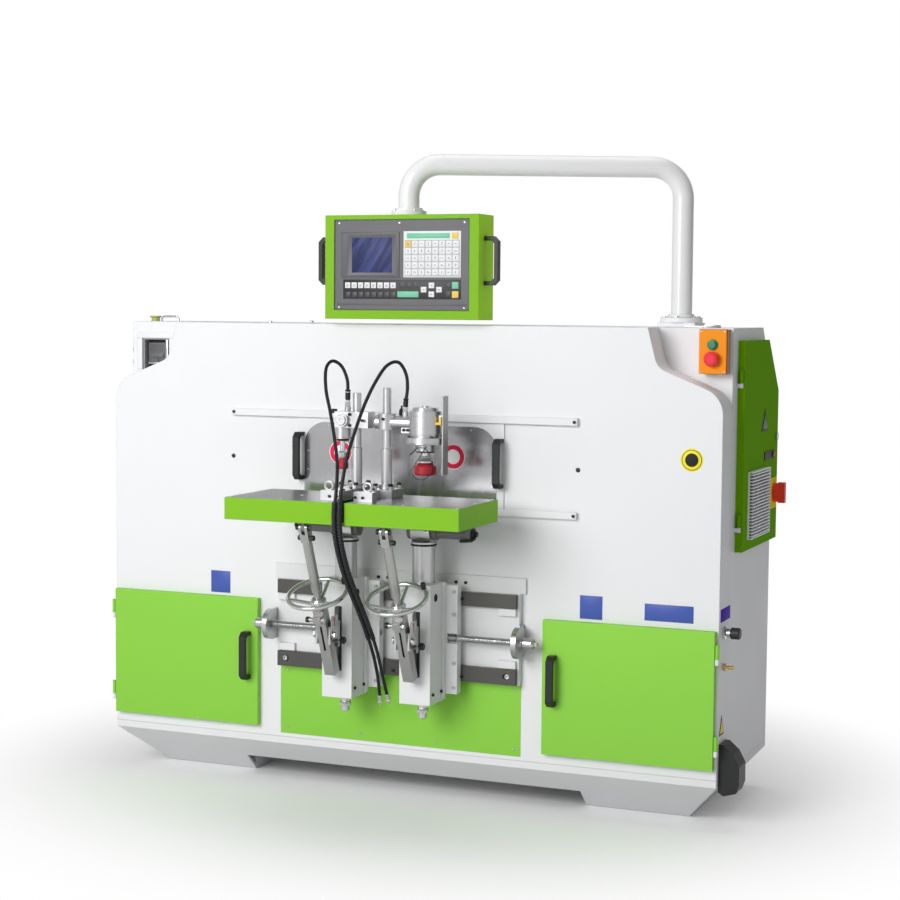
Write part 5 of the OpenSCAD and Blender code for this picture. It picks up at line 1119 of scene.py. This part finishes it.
on_face(bm, 220, 388, 58, 160.5, 0.8, sunk=-0.4)
finished("key_sheet_lines", bm, key_gap, "pendant")
white, yellow, mint, dark, ink = (bmesh.new() for _ in range(5))
for col in range(8):
    for row in range(5):
        x, z = 221.5 + col * 20.9, 60 + row * 20.1
        on_face(yellow if (col, row) == (0, 0) else white, x, x + 18.4, z, z + 17.6, 1.7, sunk=-0.6)
        pick = random.Random(col * 7 + row)
        kind = pick.randrange(4)
        if kind == 0:
            on_face(ink, x + 5, x + 12, z + 7.6, z + 9.2, 1.9, sunk=-1.6)
        elif kind == 1:
            on_face(ink, x + 8, x + 9.8, z + 4.6, z + 12.0, 1.9, sunk=-1.6)
        elif kind == 2:
            on_face(ink, x + 6.2, x + 12.4, z + 5.4, z + 7.0, 1.9, sunk=-1.6)
            on_face(ink, x + 6.2, x + 10.2, z + 9.6, z + 11.2, 1.9, sunk=-1.6)
        else:
            on_face(ink, x + 6.4, x + 8.0, z + 5.4, z + 11.4, 1.9, sunk=-1.6)
            on_face(ink, x + 10.2, x + 11.8, z + 7.4, z + 11.4, 1.9, sunk=-1.6)
on_face(mint, 226, 358, 39, 53.5, 1.5)
on_face(yellow, 364, 384, 38, 54.5, 1.5)
bm = bmesh.new()
on_face(bm, 27, 393, 171, 225, 0.8)
finished("key_strip", bm, strip_black, "pendant", bevel=0.0005)
for col in range(8):
    x = 33.5 + col * 20.4
    on_face(white, x, x + 16.6, 178, 194.5, 1.9)
    on_face(dark, x, x + 16.6, 205, 221, 1.7)
    on_face(ink, x + 5, x + 11.5, 184.5, 186.5, 2.1, sunk=-1.8)
    on_face(ink, x + 5, x + 9.5, 188.8, 190.4, 2.1, sunk=-1.8)
for x in (203, 224, 245):
    on_face(dark, x, x + 16.6, 178, 194.5, 1.7)
for z in (178, 202):
    on_face(dark, 346, 362.6, z, z + 16.5, 1.7)
on_face(mint, 198, 264, 203, 220, 2.0)
for x, z in ((271, 190), (295, 178), (295, 203), (318, 190)):
    on_face(white, x, x + 17, z, z + 16, 1.9)
    on_face(ink, x + 5.5, x + 11.5, z + 7, z + 9, 2.1, sunk=-1.8)
on_face(mint, 366, 386, 176, 195, 2.0)
on_face(yellow, 366, 386, 202, 221, 2.0)
for name, bm, paint in (("white", white, key_white), ("yellow", yellow, key_yellow),
                        ("mint", mint, key_mint), ("black", dark, key_dark), ("legend", ink, legend)):
    finished("panel_keys_" + name, bm, paint, "pendant",
             bevel=0.0 if name == "legend" else 0.0007)
seats = [((LEFT + x, FACE, TOP - z), TO_FRONT) for x, z in ((14, 9), (203, 9), (403, 9), (14, 249),
                                                            (403, 249))]
screws("panel_screws", "pendant", seats, 6.5, "pan", zinc, seed=70)

# Case trim: a dark gasket line round the recess. At the back a sheet cover is screwed on, with two rows
# of vents.
bm = bmesh.new()
for x0, x1, z0, z1 in ((-188.2, 232.2, 1676.2, 1677.6), (-188.2, 232.2, 1418.4, 1419.8),
                       (-188.2, -186.7, 1418.4, 1677.6), (230.7, 232.2, 1418.4, 1677.6)):
    block(bm, (x0, -50.25, z0), (x1, -49.5, z1))
finished("panel_gasket", bm, strip_black, "pendant")
CASE_REAR = 65.6             # Y of the sheet cover's face, in mm
bm = bmesh.new()
block(bm, (-196, 64, 1413), (240, CASE_REAR, 1682))
block(bm, (-184, CASE_REAR, 1425), (228, 66.4, 1670))
finished("pendant_rear_cover", bm, lime_enamel, "pendant", bevel=0.001)
seats = [((x, CASE_REAR, z), TO_BACK) for x in (-190, 22, 234) for z in (1419, 1676)]
seats += [((x, CASE_REAR, 1547), TO_BACK) for x in (-190, 234)]
screws("pendant_rear_screws", "pendant", seats, 8, "pan", zinc, seed=71)
bm = bmesh.new()
for z in (1470, 1600):
    for k in range(9):
        block(bm, (-60 + k * 18, 66.3, z), (-50 + k * 18, 67.2, z + 42))
finished("pendant_rear_vents", bm, strip_black, "pendant")

# The arm's flange on the roof and the stub's collar on the case are bolted down.
seats = [((738 + x, 340 + y, 1405), UP) for x, y in round_circle(6, 51, 30)]
screws("arm_flange_screws", "cabinet", seats, 11, "hex", zinc, seed=72)
seats = [((22 + x, 7 + y, 1702), UP) for x, y in round_circle(4, 43, 45)]
screws("stub_flange_screws", "pendant", seats, 7, "socket", zinc, seed=73)

# Controls and services
# Push buttons, main switch, air regulator and lubricator are bought parts, moulded or die cast, and
# screwed to the casing.

orange_paint = coat("orange_enamel", (0.92, 0.29, 0.006), rough=0.5, shine=0.15, fineness=400, vary=0.04,
                    edge=0.002, wear=0.3, under=(0.5, 0.4, 0.3), dust=0.1,
                    second=[("Y", 1, -0.272, (0.30, 0.305, 0.31), 0.0, 0.05)])
green_button = coat("green_button", (0.0, 0.20, 0.075), rough=0.35, fineness=300, vary=0.08, edge=0.001,
                    wear=0.1, dust=0.0, gloss=0.3)
red_button = coat("red_button", (0.86, 0.035, 0.055), shine=0.15, fineness=300, vary=0.08, edge=0.001,
                  wear=0.1, under=(0.7, 0.2, 0.2), dust=0.05, gloss=0.3)
grey_coat = coat("grey_cover_coat", (0.42, 0.425, 0.43), rough=0.45, vary=0.04, edge=0.001, wear=0.3,
                 dust=0.2, second=[("Z", 1, 1.379, (0.42, 0.46, 0.10), 0.0, 0.0)])
dress(orange_paint, "button_box")
dress(green_button, "start_button")
switch_red = coat("switch_red", (0.98, 0.07, 0.035), shine=0.15, fineness=300, vary=0.05, edge=0.001,
                  wear=0.1, under=(0.7, 0.3, 0.2), dust=0.02)
dress(red_button, "stop_button")
dress(switch_red, "main_switch")
dress(grey_coat, "lubricator")
regulator_metal = coat("regulator_chrome", (0.62, 0.62, 0.63), rough=0.2, fineness=600, vary=0.05,
                       edge=0.0008, wear=0.1, dust=0.0, metal=1.0,
                       second=[("X", 1, 0.9735, (0.012, 0.012, 0.013), 0.0, 0.3),
                               ("Z", -1, 0.500, (0.62, 0.44, 0.17), 1.0, 0.0)])
dress(regulator_metal, "air_regulator")

# Button box: the face is held by four small screws over a black gasket, and each button stands in a
# ring of its own colour.

BUTTON_X, BOX_FACE = 907, 55     # the buttons' middle and the face's depth, in mm
bm = bmesh.new()
turned(bm, (BUTTON_X, BOX_FACE, 1333), TO_FRONT, [(0, 11.3), (0, 15), (2.4, 15), (3.6, 13.5), (3.6, 11.3)],
       sides=40)
finished("start_button_ring", bm, green_button, "cabinet", smooth=40)
bm = bmesh.new()
turned(bm, (BUTTON_X, BOX_FACE, 1294), TO_FRONT, [(0, 11.3), (0, 16.5), (1.6, 16.5), (2.6, 15),
                                                  (2.6, 11.3)], sides=40)
finished("stop_button_ring", bm, red_button, "cabinet", smooth=40)
seats = [((BUTTON_X + x, BOX_FACE, 1314 + z), TO_FRONT) for x in (-33, 33) for z in (-55, 55)]
screws("button_box_screws", "cabinet", seats, 4.5, "pan", zinc, seed=80)
bm = bmesh.new()
block(bm, (868.2, 62, 1252.8), (945.8, 64, 1375.2))
finished("button_box_gasket", bm, ring_black, "cabinet")

# Lubricator window: a white frame round an opening, the grey pump unit with its ribs behind it, a black
# sheet at the back as painted shade, a yellow-green filler cap, a bright pull on the roof, and two loops of
# black cable at the left.

bm = bmesh.new()
for x0, x1, z0, z1 in ((-938, -806, 1326, 1344), (-938, -806, 1211, 1229), (-938, -920, 1229, 1326),
                       (-824, -806, 1229, 1326)):
    block(bm, (x0, 95.5, z0), (x1, 100, z1))
finished("lubricator_frame", bm, white_coat, "cabinet", bevel=0.0012)
# A black sheet behind the pump: painted shade inside the window.
bm = bmesh.new()
block(bm, (-915, 133, 1233), (-829, 143, 1322))
finished("lubricator_back", bm, strip_black, "cabinet")
bm = bmesh.new()
block(bm, (-906, 112, 1248), (-848, 134, 1312))
for k in range(4):
    block(bm, (-903, 109.5, 1286 + k * 6), (-851, 112.2, 1288.5 + k * 6))
block(bm, (-903, 108.5, 1266), (-851, 112.2, 1280))
turned(bm, (-877, 112, 1257), TO_FRONT, [(0, 7), (3, 7), (4, 5.6), (4, 0)], sides=24)
pump_grey = coat("pump_casting", (0.13, 0.13, 0.135), rough=0.45, fineness=500, vary=0.1, edge=0.0012,
                 wear=0.4, under=(0.3, 0.3, 0.3), dust=0.2)
finished("lubricator_pump", bm, pump_grey, "cabinet", bevel=0.001)
bm = bmesh.new()
block(bm, (-906, 108, 1246.5), (-848, 112.5, 1251.5))
block(bm, (-842, 104, 1234), (-833, 140, 1322))
finished("lubricator_trim", bm, zinc, "cabinet", bevel=0.0008)
bm = bmesh.new()
turned(bm, (-910, 160, 1390.5), UP, [(0, 13.2), (0, 17.6), (1, 18.2), (4, 18.2), (4.6, 16), (4.6, 0)],
       sides=20)
finished("filler_cap", bm, coat("filler_cap_green", (0.40, 0.42, 0.12), fineness=700, vary=0.08,
                                edge=0.0008, wear=0.3, under=(0.5, 0.5, 0.3), dust=0.2), "cabinet")
bm = bmesh.new()
swept(bm, [mm(-886, 158, 1378), mm(-886, 158, 1387), mm(-882, 158, 1392), mm(-874, 158, 1393.5),
           mm(-838, 158, 1393.5), mm(-830, 158, 1392), mm(-826, 158, 1387), mm(-826, 158, 1378)], 0.003,
      sides=12)
finished("roof_pull", bm, zinc, "cabinet", smooth=60)
bm = bmesh.new()
for z in (1252, 1290):
    arc_line = [mm(-954.6 - 3.0 * math.sin(math.pi * k / 12), 108, z - 14 + 28 * k / 12) for k in range(13)]
    swept(bm, arc_line, 0.0022, sides=10)
finished("side_cable_loops", bm, ring_black, "cabinet", smooth=60)

# Electrical plate behind the side door: slotted wiring ducts round three rows of devices. Drives stand
# at the top, circuit breakers on a rail in the middle, contactors and terminals below. All are moulded
# parts clipped or screwed to the sheet-steel plate.

duct_grey = coat("duct_grey", (0.30, 0.31, 0.32), rough=0.5, vary=0.04, edge=0.0006, wear=0.1, dust=0.15)
device_white = moulded("device_white", (0.66, 0.66, 0.64), 0.45, 0.04, dust=0.1)
device_dark = moulded("device_dark", (0.035, 0.037, 0.04), 0.45, 0.1, dust=0.1)
device_green = moulded("terminal_green", (0.05, 0.30, 0.08), 0.45, 0.06, dust=0.1, edge=0.0005)
PLATE = 503.0                # X of the electrical plate's face, in mm
DUCT_H = 41                  # where a duct's lid lies over the plate
SLOT_PITCH = 12              # from one slot of a duct to the next
RAIL_H = 7.4                 # height of a rail over the plate
ROW_Y = 222                  # where each row of devices starts
BREAKER_PITCH = 18.4
CONTACTOR_PITCH = 47.5


def on_plate(bm, y0, y1, z0, z1, depth, foot=0.0):
    """A moulded block standing on the electrical plate, measured from the plate's face."""
    block(bm, (PLATE + foot, y0, z0), (PLATE + depth, y1, z1))


bm = bmesh.new()
for z in (784, 952, 1106, 1282):
    on_plate(bm, 214, 510, z, z + 28, 3)
    on_plate(bm, 213, 511, z - 0.6, z + 28.6, DUCT_H + 3, DUCT_H)
    for k in range(25):
        for edge_z in (z, z + 26.4):
            on_plate(bm, 215 + SLOT_PITCH * k, 222.5 + SLOT_PITCH * k, edge_z, edge_z + 1.6, DUCT_H + 0.2,
                     2.9)
for y in (182, 514):
    on_plate(bm, y, y + 28, 780, 1314, 3)
    on_plate(bm, y - 0.6, y + 28.6, 780, 1314, DUCT_H + 3, DUCT_H)
    for k in range(44):
        for edge_y in (y, y + 26.4):
            on_plate(bm, edge_y, edge_y + 1.6, 783 + SLOT_PITCH * k, 790.5 + SLOT_PITCH * k, DUCT_H + 0.2,
                     2.9)
finished("wiring_ducts", bm, duct_grey, "cabinet")
bm = bmesh.new()
for z in (1041, 880, 834):
    for z0, z1, depth, foot in ((-17.5, 17.5, 1.2, 0), (-12.5, -11.3, 7, 1), (11.3, 12.5, 7, 1),
                                (-17.5, -11.3, RAIL_H, 6.2), (11.3, 17.5, RAIL_H, 6.2)):
        on_plate(bm, 218, 506, z + z0, z + z1, depth, foot)
finished("device_rails", bm, zinc, "cabinet")
white, dark, green, metal = bmesh.new(), bmesh.new(), bmesh.new(), bmesh.new()
for k in range(4):
    y = ROW_Y + 72 * k
    on_plate(dark, y, y + 62, 1146, 1270, 96, 0)
    on_plate(white, y + 1, y + 61, 1150, 1266, 104, 96)
    on_plate(dark, y + 10, y + 52, 1240, 1260, 105, 103.8)
    for row in range(5):
        on_plate(green if row == 4 else dark, y + 14, y + 48, 1156 + 14 * row, 1165 + 14 * row, 106, 103.8)
for k in range(15):
    y = ROW_Y + BREAKER_PITCH * k
    on_plate(white, y, y + 17.6, 999, 1083, 44, RAIL_H)
    on_plate(white, y, y + 17.6, 1018, 1064, 62, 43.9)
    on_plate(dark, y + 4, y + 13.6, 1034, 1048, 72, 61.9)
    for z in (1008, 1074):
        turned(metal, (PLATE + 43.9, y + 8.8, z), (1, 0, 0), [(0, 3.6), (1, 3.6), (1.4, 2.8), (1.4, 0)],
               sides=14)
for k in range(6):
    y = ROW_Y + CONTACTOR_PITCH * k
    on_plate(dark, y, y + 44, 860, 934, 56, RAIL_H)
    on_plate(white, y + 2, y + 42, 872, 922, 72, 55.9)
    on_plate(dark, y + 14, y + 30, 888, 906, 76, 71.9)
    for j in range(3):
        for z in (865, 929):
            turned(metal, (PLATE + 55.9, y + 9 + 13 * j, z), (1, 0, 0),
                   [(0, 3.8), (1, 3.8), (1.4, 3), (1.4, 0)], sides=14)
for k in range(46):
    y = ROW_Y + 6.1 * k
    on_plate(green if k % 12 == 11 else white, y, y + 5.5, 818, 850, 40, RAIL_H)
    on_plate(dark, y + 1.4, y + 4.1, 829, 839, 42, 39.9)
finished("device_bodies", white, device_white, "cabinet")
finished("device_fronts", dark, device_dark, "cabinet")
finished("earth_terminals", green, device_green, "cabinet")
finished("device_screws", metal, zinc, "cabinet", smooth=40)
bm = bmesh.new()
for k in range(15):
    y = ROW_Y + 8.8 + BREAKER_PITCH * k
    for z, reach, side_z in ((1008, 972, -1), (1074, 1110, 1)):
        lean_y = 3 * math.sin(k * 1.7)
        swept(bm, [mm(PLATE + 44, y, z), mm(PLATE + 52, y, z + 4 * side_z),
                   mm(PLATE + 50, y + lean_y, z + 16 * side_z), mm(PLATE + 36, y + lean_y, z + 27 * side_z),
                   mm(PLATE + 24, y + lean_y, reach)], 0.0017, sides=8)
for k in range(6):
    for j in range(3):
        y = ROW_Y + 9 + CONTACTOR_PITCH * k + 13 * j
        swept(bm, [mm(PLATE + 56, y, 929), mm(PLATE + 63, y, 933), mm(PLATE + 58, y + 1.5, 944),
                   mm(PLATE + 30, y + 2, 956)], 0.0017, sides=8)
finished("device_wires", bm, ring_black, "cabinet", smooth=60)

# Side door: louvred cover with slanted slats in a frame, which a tree sets at an even pitch.

set_slats, start, end = group(
    "set_slats", [("Count", "Int", 20), ("Pitch", "Float", 0.0091), ("Width", "Float", 0.216),
                  ("Depth", "Float", 0.0085), ("Thickness", "Float", 0.0030), ("Slope", "Float", 0.12),
                  ("Finish", "Material", None)],
    [("Slats", "Geometry")], "GeometryNodeTree",
)
row = put(set_slats, "GeometryNodeMeshLine", mode="OFFSET")
step = put(set_slats, "ShaderNodeCombineXYZ")
size = put(set_slats, "ShaderNodeCombineXYZ")
slat = put(set_slats, "GeometryNodeMeshCube")
tilt = put(set_slats, "ShaderNodeCombineXYZ")
leaned = put(set_slats, "GeometryNodeTransform")
placed = put(set_slats, "GeometryNodeInstanceOnPoints")
real = put(set_slats, "GeometryNodeRealizeInstances")
painted = put(set_slats, "GeometryNodeSetMaterial")
wire(set_slats, (start, "Count", row, "Count"), (start, "Pitch", step, "Z"), (step, 0, row, "Offset"),
     (start, "Depth", size, "X"), (start, "Width", size, "Y"), (start, "Thickness", size, "Z"),
     (size, 0, slat, "Size"), (start, "Slope", tilt, "Y"), (slat, "Mesh", leaned, "Geometry"),
     (tilt, 0, leaned, "Rotation"), (row, 0, placed, "Points"), (leaned, 0, placed, "Instance"),
     (placed, 0, real, 0), (real, 0, painted, "Geometry"), (start, "Finish", painted, "Material"),
     (painted, 0, end, "Slats"))

# The slats and frame are a lighter white than the casing's powder coat: painted light that makes up for the
# dim side.
louvre_lightened_white = coat("louvre_lightened_white", (0.92, 0.93, 0.94), edge=0.0005, wear=0.3, dust=0.15)
slats = bpy.data.objects.new("slats", bpy.data.meshes.new("slats"))
bpy.context.scene.collection.objects.link(slats)
made = grown(slats, set_slats, {})
made.transform(Matrix.Translation(mm(984.0, 319, 793.6)))
bm = bmesh.new()
bm.from_mesh(made)
bpy.data.objects.remove(slats)
for low, high in (((974.5, 210, 785), (980, 212, 975)), ((974.5, 426, 785), (988.6, 428, 975)),
                  ((974.5, 212, 785), (986, 426, 788)), ((974.5, 212, 972), (988.6, 426, 975)),
                  ((976.4, 316, 788), (979, 322, 972))):
    block(bm, low, high)
louvre = finished("louvre_cover", bm, louvre_lightened_white, "cabinet_door")
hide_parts("vent_cover")
# A black sheet behind the slats: painted shade inside the door.
bm = bmesh.new()
block(bm, (974.4, 212.4, 788.4), (976.2, 425.6, 971.6))
finished("louvre_back", bm, strip_black, "cabinet_door")

DOOR_X = 974.2               # X of the side door's face, in mm
SWITCH_X = 977.2             # X of the main switch's plate
LAMP = (977.3, 498, 1007.5)  # middle of the lamp's foot
SIDE_X = 954                 # X of the casing's right side

# Main switch: a red handle with a grip over a ring, on a bare yellow plate with four screws.
bm = bmesh.new()
turned(bm, (SWITCH_X, 520, 893), (1, 0, 0), [(0, 8), (0, 27), (1.5, 28), (4, 28), (5, 26.5), (5, 8)],
       sides=48)
finished("switch_ring", bm, ring_black, "cabinet_door", smooth=40)
seats = [((SWITCH_X, 520 + y, 892 + z), (1, 0, 0)) for y in (-32, 32) for z in (-40, 40)]
screws("switch_plate_screws", "cabinet_door", seats, 5.5, "pan", zinc, seed=82)

# Lamp on the side door: a black bezel with a red lens. A bare triangle sits above it, and another one
# and a purple plate sit on the casing's side. None of them has any print.
bm = bmesh.new()
block(bm, (DOOR_X, 402, 996), (977.4, 520, 1019))
turned(bm, LAMP, (1, 0, 0), [(0, 6), (0, 10.5), (2, 10.5), (3, 9.5), (3, 7.5)], sides=32)
finished("door_lamp_bezel", bm, ring_black, "cabinet_door", smooth=40)
bm = bmesh.new()
turned(bm, LAMP, (1, 0, 0), [(0, 7.4), (3, 7.4), (5, 5.5), (5.8, 2.5), (6, 0)], sides=32)
finished("door_lamp_lens", bm, red_button, "cabinet_door", smooth=60)


def bare_plate(name, points, thick, paint, body):
    """A flat plate without print: its corner points in millimetres, pushed out by its thickness."""
    bm = bmesh.new()
    low = [bm.verts.new(mm(*p)) for p in points]
    a, b, c = (mm(*p) for p in points[:3])
    out_way = (b - a).cross(c - a).normalized() * (thick / 1000)
    high = [bm.verts.new(mm(*p) + out_way) for p in points]
    bm.faces.new(low[::-1])
    bm.faces.new(high)
    join_rings(bm, [low, high])
    finished(name, bm, paint, body, bevel=0.0004)


bare_yellow = coat("plate_yellow", (0.90, 0.80, 0.035), rough=0.45, shine=0.15, vary=0.04, edge=0.0004,
                   wear=0.1, under=(0.6, 0.5, 0.2), dust=0.05)
bare_blue = coat("plate_blue", (0.055, 0.10, 0.42), rough=0.38, vary=0.06, edge=0.0004, wear=0.1,
                 under=(0.3, 0.35, 0.6), dust=0.05)
bare_purple = coat("plate_purple", (0.10, 0.035, 0.48), rough=0.6, shine=0.05, vary=0.06, edge=0.0004,
                   wear=0.1, dust=0.05)
bare_red = coat("plate_red", (0.80, 0.03, 0.09), rough=0.5, shine=0.1, vary=0.04, edge=0.0004, wear=0.1,
                dust=0.02)
bare_white = coat("plate_white", (0.97, 0.97, 0.97), rough=0.5, edge=0.0004, wear=0.1, dust=0.02)
bare_black = coat("plate_black", (0.03, 0.03, 0.03), rough=0.45, vary=0.1, edge=0.0004, wear=0.1,
                  under=(0.1, 0.1, 0.1), dust=0.02, shine=0.08)
bare_olive = coat("plate_olive", (0.07, 0.13, 0.02), rough=0.45, vary=0.06, edge=0.0004, wear=0.1,
                  dust=0.02)
bare_plate("side_door_triangle", [(DOOR_X, 357, 1080), (DOOR_X, 443, 1080), (DOOR_X, 400, 1148)], 0.8,
           bare_black, "cabinet_door")
bare_plate("side_door_triangle_field", [(DOOR_X + 0.8, 373, 1087.5), (DOOR_X + 0.8, 427, 1087.5),
                                        (DOOR_X + 0.8, 400, 1131)], 0.5, bare_olive, "cabinet_door")
bare_plate("side_triangle_low", [(SIDE_X, 18, 262), (SIDE_X, 68, 262), (SIDE_X, 43, 318)], 0.8, bare_black,
           "cabinet")
bare_plate("side_triangle_low_field", [(SIDE_X + 0.8, 26, 267), (SIDE_X + 0.8, 60, 267),
                                       (SIDE_X + 0.8, 43, 304)], 0.5, bare_yellow, "cabinet")
bare_plate("side_plate_purple", [(SIDE_X, 14, 577), (SIDE_X, 116, 577), (SIDE_X, 116, 613),
                                 (SIDE_X, 14, 613)], 0.8, bare_purple, "cabinet")

# Bare plates on the front: two blue squares, a blue rectangle and a yellow disc with a dark centre.
# The shield carries two red discs with a bare white field. None of them has any print.
for name, x, w, z, h in (("front_plate_left", -588, 66, 597, 66), ("front_plate_right", 588, 66, 597, 66),
                         ("front_plate_wide", 812.5, 139, 595.5, 47)):
    bare_plate(name, [(x - w / 2, 0, z - h / 2), (x + w / 2, 0, z - h / 2), (x + w / 2, 0, z + h / 2),
                      (x - w / 2, 0, z + h / 2)], 0.8, bare_blue, "cabinet")


def disc(name, x, y, z, layers, body):
    """Round plates on each other, facing the operator: (height in mm, radius in mm, finish)."""
    foot = 0.0
    for i, (thick, radius, paint) in enumerate(layers):
        bm = bmesh.new()
        turned(bm, (x, y - foot, z), TO_FRONT, [(0, radius), (thick * 0.6, radius), (thick, radius - 0.4),
                                                (thick, 0)], sides=64)
        finished(name + "_" + "abcd"[i], bm, paint, body, smooth=30)
        foot += thick


disc("front_disc", 869.6, 0, 1020, ((0.8, 31.6, bare_yellow), (0.4, 28.2, bare_black),
                                    (0.4, 26.4, bare_yellow), (0.5, 18.6, bare_black)), "cabinet")

# The stainless sheet is riveted to the white plate behind it. Button-head screws hold the rails, and
# two round plates, red with a bare white field, sit on the sheet at either side of the middle.
seats = [((s * 536, -12, z), TO_FRONT) for s in (-1, 1) for z in (851.5, 1113.5)]
screws("shield_rail_screws", "cabinet", seats, 8.5, "socket", black_oxide, seed=60)
SHIELD_Y = -7                # Y of the stainless sheet's face, in mm
seats = [((s * 290, SHIELD_Y, z), TO_FRONT) for s in (-1, 1) for z in (950, 1005)]
seats += [((x, SHIELD_Y, z), TO_FRONT) for x in (-225, -75, 75, 225) for z in (874, 1081)]
screws("shield_rivets", "shield", seats, 5.5, "pan", zinc, seed=61)
for name, x in (("shield_disc_left", -185), ("shield_disc_right", 171)):
    disc(name, x, SHIELD_Y, 1003.5, ((0.4, 36, bare_white), (0.4, 34, bare_red), (0.3, 21, bare_white)),
         "shield")

for head in screw_heads.values():
    bpy.data.objects.remove(head)
